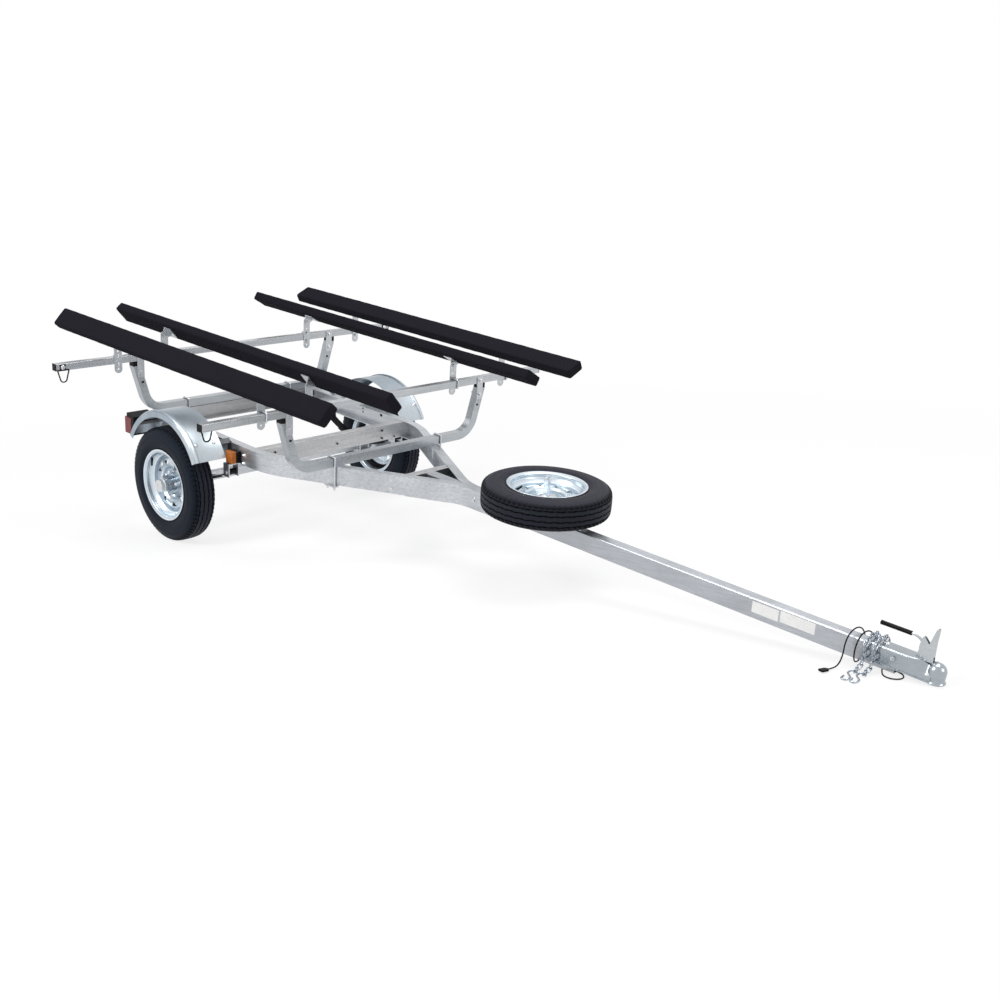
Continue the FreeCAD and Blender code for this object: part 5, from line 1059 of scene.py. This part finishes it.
def coupler_shell():
    """An upside-down U with flared edges carried along the tongue's end; near the ball its upper
    corners fold in by a smooth step and its roof dips, then follows the dome's inside. The dome
    and its lip are turned about the ball's own line."""
    rows = []
    for x in SHELL_X:
        fold = smooth_step(x, FOLD_FROM, FOLD_RUN)
        ahead = BALL_X - x
        head = HEAD_Z - DIP * smooth_step(x, DIP_FROM, DIP_RUN)
        if ahead < ROOF_REACH:
            head = BALL_Z + math.sqrt(ROOF_R ** 2 - ahead ** 2)
        half = [(FLARE_Y, FOOT_Z), (SIDE_Y, FOOT_Z), (SIDE_Y, SHOULDER_Z - SHOULDER_DROP * fold),
                (ROOF_Y - ROOF_NARROWS * fold, head)]
        line = bend(half + [(0.0, head)] + [(-y, z) for y, z in half[::-1]], SHELL_BENDS)
        if ahead < BULGE_REACH:
            out = line - (0.0, BALL_Z)
            reach, least = np.linalg.norm(out, axis=1), math.sqrt(BULGE_R ** 2 - ahead ** 2)
            inside = (reach < least) & (line[:, 1] > BULGE_FOOT_Z)
            pushed = out * (least / np.maximum(reach, 1e-6))[:, None] + (0.0, BALL_Z)
            line = np.where(inside[:, None], pushed, line)
        band = banded(line, -SHELL_T)
        rows.append(np.concatenate([np.full((len(band), 1), x), band], 1))
    shape = Shape().sheet(np.array(rows))
    quarter = polar(1.0, np.linspace(0, math.pi / 2, 12))
    inner = quarter * CUP_R + (0.0, BALL_Z)
    outer = quarter[::-1] * (DOME_R, DOME_HIGH) + (0.0, BALL_Z)
    shape.turned(np.concatenate([inner, outer, BALL_FOOT]), 72, (BALL_X, 0.0, 0.0), ring=True)
    piece("coupler_shell", shape, "frame", COUPLER_ZINC, "zinc", "coupler")


coupler_shell()
LATCH_AT, LATCH_SIZE = np.array((3.373, 0.0, 0.228)), np.array((0.062, 0.118))
LATCH_EDGE_SHARES = np.array((
    (0.0, 0.0), (0.0, 0.06), (0.06, 0.13), (0.13, 0.25), (0.105, 0.33), (0.20, 0.60), (0.2486, 0.655),
    (0.33, 0.64), (0.627, 0.482), (0.88, 0.95), (0.94, 1.0), (1.0, 0.985), (1.0, 0.90), (0.95, 0.61),
    (0.96, 0.25), (1.0, 0.10), (1.0, 0.0)))
LATCH_HUB_SHARES = (0.55, 0.25)
LATCH_FOLD_SHARES = np.array(((0.955, 0.16), (0.95, 0.35), (0.95, 0.61), (0.975, 0.80), (0.985, 0.985)))
LATCH_PIN_SHARES = ((0.333, 0.085), (0.62, 0.13), (0.675, 0.337))
LATCH_PIN = mm((2.2, -7.8), (3.4, -7.4), (3.4, -7), (2.2, -6.8), (2.2, 6.8), (3.4, 7), (3.4, 7.4), (2.2, 7.8))
LATCH_ROD, LATCH_ROD_R = mm((3330, 0, 299), (3348, 0, 299), (3362, 0, 297.7), (3376, 0, 291.8),
                            (3387, 0, 281.5), (3397, 0, 265)), 0.0045
CHEEK_T, CHEEK_Y, FOLD_OUT, FOLD_IN = 0.0018, (-0.0052, 0.0070), (0.0042, 0.0070), (0.0026, 0.0054)


def latch_lever():
    """Two cheeks of one outline, joined down the front by a half-round fold, on a base plate,
    with a pin between them and a bent rod to the grip."""
    shape = Shape()
    for y in CHEEK_Y:
        shape.slab(LATCH_EDGE_SHARES * LATCH_SIZE, LATCH_AT + (0, y, 0), FORWARD, UP, CHEEK_T, 0.0002,
                   LATCH_SIZE * LATCH_HUB_SHARES)
    bow = polar(1.0, np.linspace(-math.pi / 2, math.pi / 2, 9))
    band = np.concatenate([bow * FOLD_OUT, bow[::-1] * FOLD_IN])
    front = smooth_line(LATCH_FOLD_SHARES * LATCH_SIZE, 4)
    shape.sheet(LATCH_AT + np.stack([front[:, :1] + band[:, 0], band[:, 1] + 0 * front[:, :1],
                                     front[:, 1:] + 0 * band[:, 0]], -1))
    shape.slab(rounded_box(0.036, 0.012, 0.004), (LATCH_AT[0] + 0.030, 0.0, HEAD_Z + 0.0002), FORWARD, LEFT,
               0.002, 0.0003)
    for u, v in LATCH_PIN_SHARES * LATCH_SIZE:
        shape.turned(LATCH_PIN, 16, LATCH_AT + (u, 0.0, v), LEFT)
    shape.tube(smooth_line(LATCH_ROD, 6), LATCH_ROD_R, 14, LEFT)
    piece("latch_lever", shape, "frame", PALE_ZINC, "zinc", "coupler_latch")


GRIP = mm((0, 6.6), (0.6, 7.6), (2, 8), (4, 8), (7, 7.8), (9, 7.3), (106, 7.3), (108, 7.8), (110, 7.9),
          (111.5, 7.4), (112, 5.2))
GRIP_X, GRIP_Z = 3.234, 0.299


def grip_sleeve():
    """Rubber grip: a tube whose radius ripples round it in flutes, with a lip at each end."""
    t, radius = GRIP[:, :1], GRIP[:, 1:]
    angle = around(56)
    r = radius + ((t > 0.008) & (t < 0.107)) * np.cos(angle * 14) * 0.00035
    rows = np.stack([GRIP_X + t + 0 * r, r * np.cos(angle), GRIP_Z + r * np.sin(angle)], -1)
    piece("grip_sleeve", Shape().closed(rows), "frame", BLACK_PLASTIC, "black_plastic", "latch_grip")


latch_lever()
grip_sleeve()

# Spare wheel post, blank labels, and black cups of painted shade in the mouths of holes
POST_WASHER = mm((13.5, 4.2), (38.5, 4.8), (40.5, 6), (38, 7.5), (18, 12), (13.5, 12.5))
POST_NUT = mm((12.8, 12.5), (14, 13.5), (14, 26.5), (12.6, 27.8))
LABEL_T, LABEL_EDGE = 0.0003, 0.00005
CROSS_FACE_X, STAND_FACES, RAIL_FACE_Y = 0.3942, (0.7762, -0.3638), 0.4608


def spare_post():
    """Threaded post through the disc, its ridges a small wave along it, a hexagon nut over a
    domed washer, and a bent eye on top."""
    t = np.arange(0.0, 0.066, 0.0009)
    ridges = np.stack([0.0062 + 0.0005 * (np.arange(len(t)) % 2), 0.004 + t], -1)
    shape = Shape().turned(np.concatenate([mm((4, 0)), ridges]), 20, SPARE_AT)
    shape.turned(POST_WASHER, 48, SPARE_AT)
    shape.turned(POST_NUT, 24, SPARE_AT, UP, 6, 0.3)
    t = around(28)
    eye = SPARE_AT + np.stack([0 * t, 0.0075 * np.cos(t), 0.0780 + 0.0085 * np.sin(t)], -1)
    shape.tube(eye, 0.0032, 12, FORWARD, ring=True)
    piece("spare_post", shape, "frame", ZINC, "zinc")


def labels():
    """Blank paper labels: thin rounded sheets on the tongue's right side and on the wheel disc."""
    shape = Shape()
    for x, z, half_x in ((2.813, 0.194, 0.055), (2.945, 0.197, 0.070)):
        shape.slab(rounded_box(half_x, 0.021, 0.003), (x, -0.0256, z), FORWARD, UP, LABEL_T, LABEL_EDGE)
    piece("blank_labels", shape, "frame", LABEL, "black_plastic")
    c, s = polar(1.0, math.radians(128.5))
    shape = Shape().slab(rounded_box(0.0085, 0.0080, 0.0015), (0.1005 * c, 0.1005 * s, 0.0196), (s, -c, 0.0),
                         (c, s, -0.18), LABEL_T, LABEL_EDGE)
    piece("disc_label", shape.moved(on_axle(-1)), "wheel_right", LABEL, "black_plastic")


def hole_mouths():
    """Shallow cups with a thin rim, each facing out of its wall, black as painted shade inside the holes."""
    across = [(0.287, 0.202, 0.0055), (0.289, 0.164, 0.0055), (-0.287, 0.202, 0.0055), (-0.289, 0.164, 0.0055),
              (0.367, 0.161, 0.0045), (-0.341, 0.201, 0.005), (0.014, 0.182, 0.005)]
    mouths = [((CROSS_FACE_X, y, z), FORWARD, radius) for y, z, radius in across]
    mouths += [((x, y, 0.386), FORWARD, 0.0055) for x in STAND_FACES for y in (-0.5435, 0.5435)]
    mouths += [((x, RAIL_FACE_Y, z), (0, -1, 0), radius)
               for x, z, radius in ((0.040, 0.207, 0.0050), (0.041, 0.188, 0.0050), (0.183, 0.205, 0.0090))]
    shape = Shape()
    for at, way, radius in mouths + [((3.322, 0.0, 0.22812), UP, 0.0062)]:
        shape.turned([(radius, 0.0), (radius, 0.0003), (radius * 0.92, 0.0004), (radius * 0.80, 0.0002)],
                     20, at, way)
    # the black of these cups is painted shade for the inside of each hole
    piece("hole_mouths", shape, "frame", BLACK_STEEL_AND_HOLE_SHADE, "black_steel")


def coupler_bolts():
    """The coupler's nuts, rivets and chain bolt, each a profile turned about its own line."""
    shape = Shape()
    bolt(shape, (3.311, -0.0285, 0.205), (0, -1, 0), 0.016, 0.009, 0.010, 0.006)
    bolt(shape, (3.311, 0.0285, 0.205), LEFT, 0.016, 0.008, 0.010)
    for side in (-1, 1):
        dome_bolt(shape, (3.380, side * 0.0285, 0.198), (0, side, 0), 0.0062, 0.0028)
    bolt(shape, (3.266, 0.0, HEAD_Z), UP, 0.017, 0.009, 0.014, 0.004)
    piece("coupler_bolts", shape, "frame", ZINC, "zinc")


spare_post()
labels()
hole_mouths()
coupler_bolts()

# Remaining solids keep their shape, with edges rounded by a radius and their own finish
for finish, slot, edge, nodes in (
        (GALVANISED, "galvanised", 0.0012, "rail_right rail_left gusset_plate"),
        (ARM_PAINTED_SHADE_ZINC, "galvanised", 0.0012, "fender_arms"),
        (CROSS_ZINC, "galvanised", 0.0012, "crossmember_rear crossmember_middle crossmember_front"),
        (TONGUE_ZINC, "galvanised", 0.0012, "tongue"),
        (TUBE_ZINC, "galvanised", 0.0012, "crossbar_rear crossbar_front"),
        (STAND_ZINC, "galvanised", 0.0012, "stand_rear stand_front"),
        (STRIP_ZINC, "galvanised", 0.0008, "bunk_strips bunk_bracket_1 bunk_bracket_2 bunk_bracket_3"
                                           " bunk_bracket_4 spare_carrier stand_straps"),
        (ZINC, "zinc", 0.0006, "bar_clamps stand_ubolts chain_bolts"),
        (CHAIN_ZINC, "zinc", 0.0006, "chain_hooks"),
        (GALVANISED, "galvanised", 0.0008, "axle spring_hangers spring_clamps"),
        (BLACK_STEEL_AND_HOLE_SHADE, "black_steel", 0.0008, "leaf_springs tie_rings"),
        (BLACK_PLASTIC, "black_plastic", 0.0012, "stand_plugs crossbar_caps tail_lamps marker_bases"),
        (RED, "red_lens", 0.0010, "tail_lenses"),
        (AMBER, "amber_lens", 0.0010, "marker_lenses")):
    for node in nodes.split():
        dressed(node, finish, edge)

# Floor, backdrop and lamps
WHITE = grey(1.0)
FLOOR_ROWS = ((30.0, -0.02), (30.0, -0.0005), (8.0, -0.0004))
NEAR_SHARE, FADE_FROM, FADE_TO = 0.80, 2.0, 5.0
UNSEEN_LIGHT = 0.55


def studio():
    """A wide pale floor that keeps the shadow, passing into white far out, and a white surround."""
    angle = around(64)
    floor = Shape().closed([np.stack([r * np.cos(angle), r * np.sin(angle), z + 0 * angle], -1)
                            for r, z in FLOOR_ROWS])
    mesh = mesh_of("floor", floor, standing=True)
    made = shown("floor", mesh)
    f = Finish("floor_finish", {"Roughness": 0.9, "Specular IOR Level": 0.1, "Base Color": grey(0.8)})
    f.feed("Roughness", 0.85 + f.noise(3.0) * 0.1)
    white = f.node("Emission", Color=WHITE, Strength=1.0)
    length = f.node("VectorMath", {"operation": "LENGTH"}, 1, _0=f.place)
    far = f.spread(length, NEAR_SHARE, 1.0, FADE_FROM, FADE_TO)
    f.end(f.node("MixShader", _0=(f.seen() * far).clamped(), _1=f.skin, _2=white))
    mesh.materials.append(f.material)
    world = bpy.data.worlds.new("surround")
    bpy.context.scene.world = world
    world.use_nodes = True
    surround = Nodes(world.node_tree, "ShaderNodeOutputWorld")
    strength = surround.seen() * (1.0 - UNSEEN_LIGHT) + UNSEEN_LIGHT
    surround.end(surround.node("Background", Color=WHITE, Strength=strength))


def soft_lamp(name, at, towards, size, power):
    data = bpy.data.lights.new(name, "AREA")
    data.shape = "DISK"
    data.size = size
    data.energy = power
    made = shown(name, data)
    made.location = at
    made.rotation_euler = (Vector(towards) - Vector(at)).to_track_quat("-Z", "Y").to_euler()


studio()
soft_lamp("key_lamp", (-1.5, -4.5, 5.0), (0.0, 0.0, 0.4), 2.5, 260.0)
soft_lamp("top_lamp", (1.0, 1.5, 5.5), (0.0, 0.0, 0.4), 3.5, 200.0)
soft_lamp("side_lamp", (6.5, 1.0, 2.5), (1.0, 0.0, 0.3), 2.5, 60.0)
bpy.context.scene.view_settings.view_transform = "Standard"
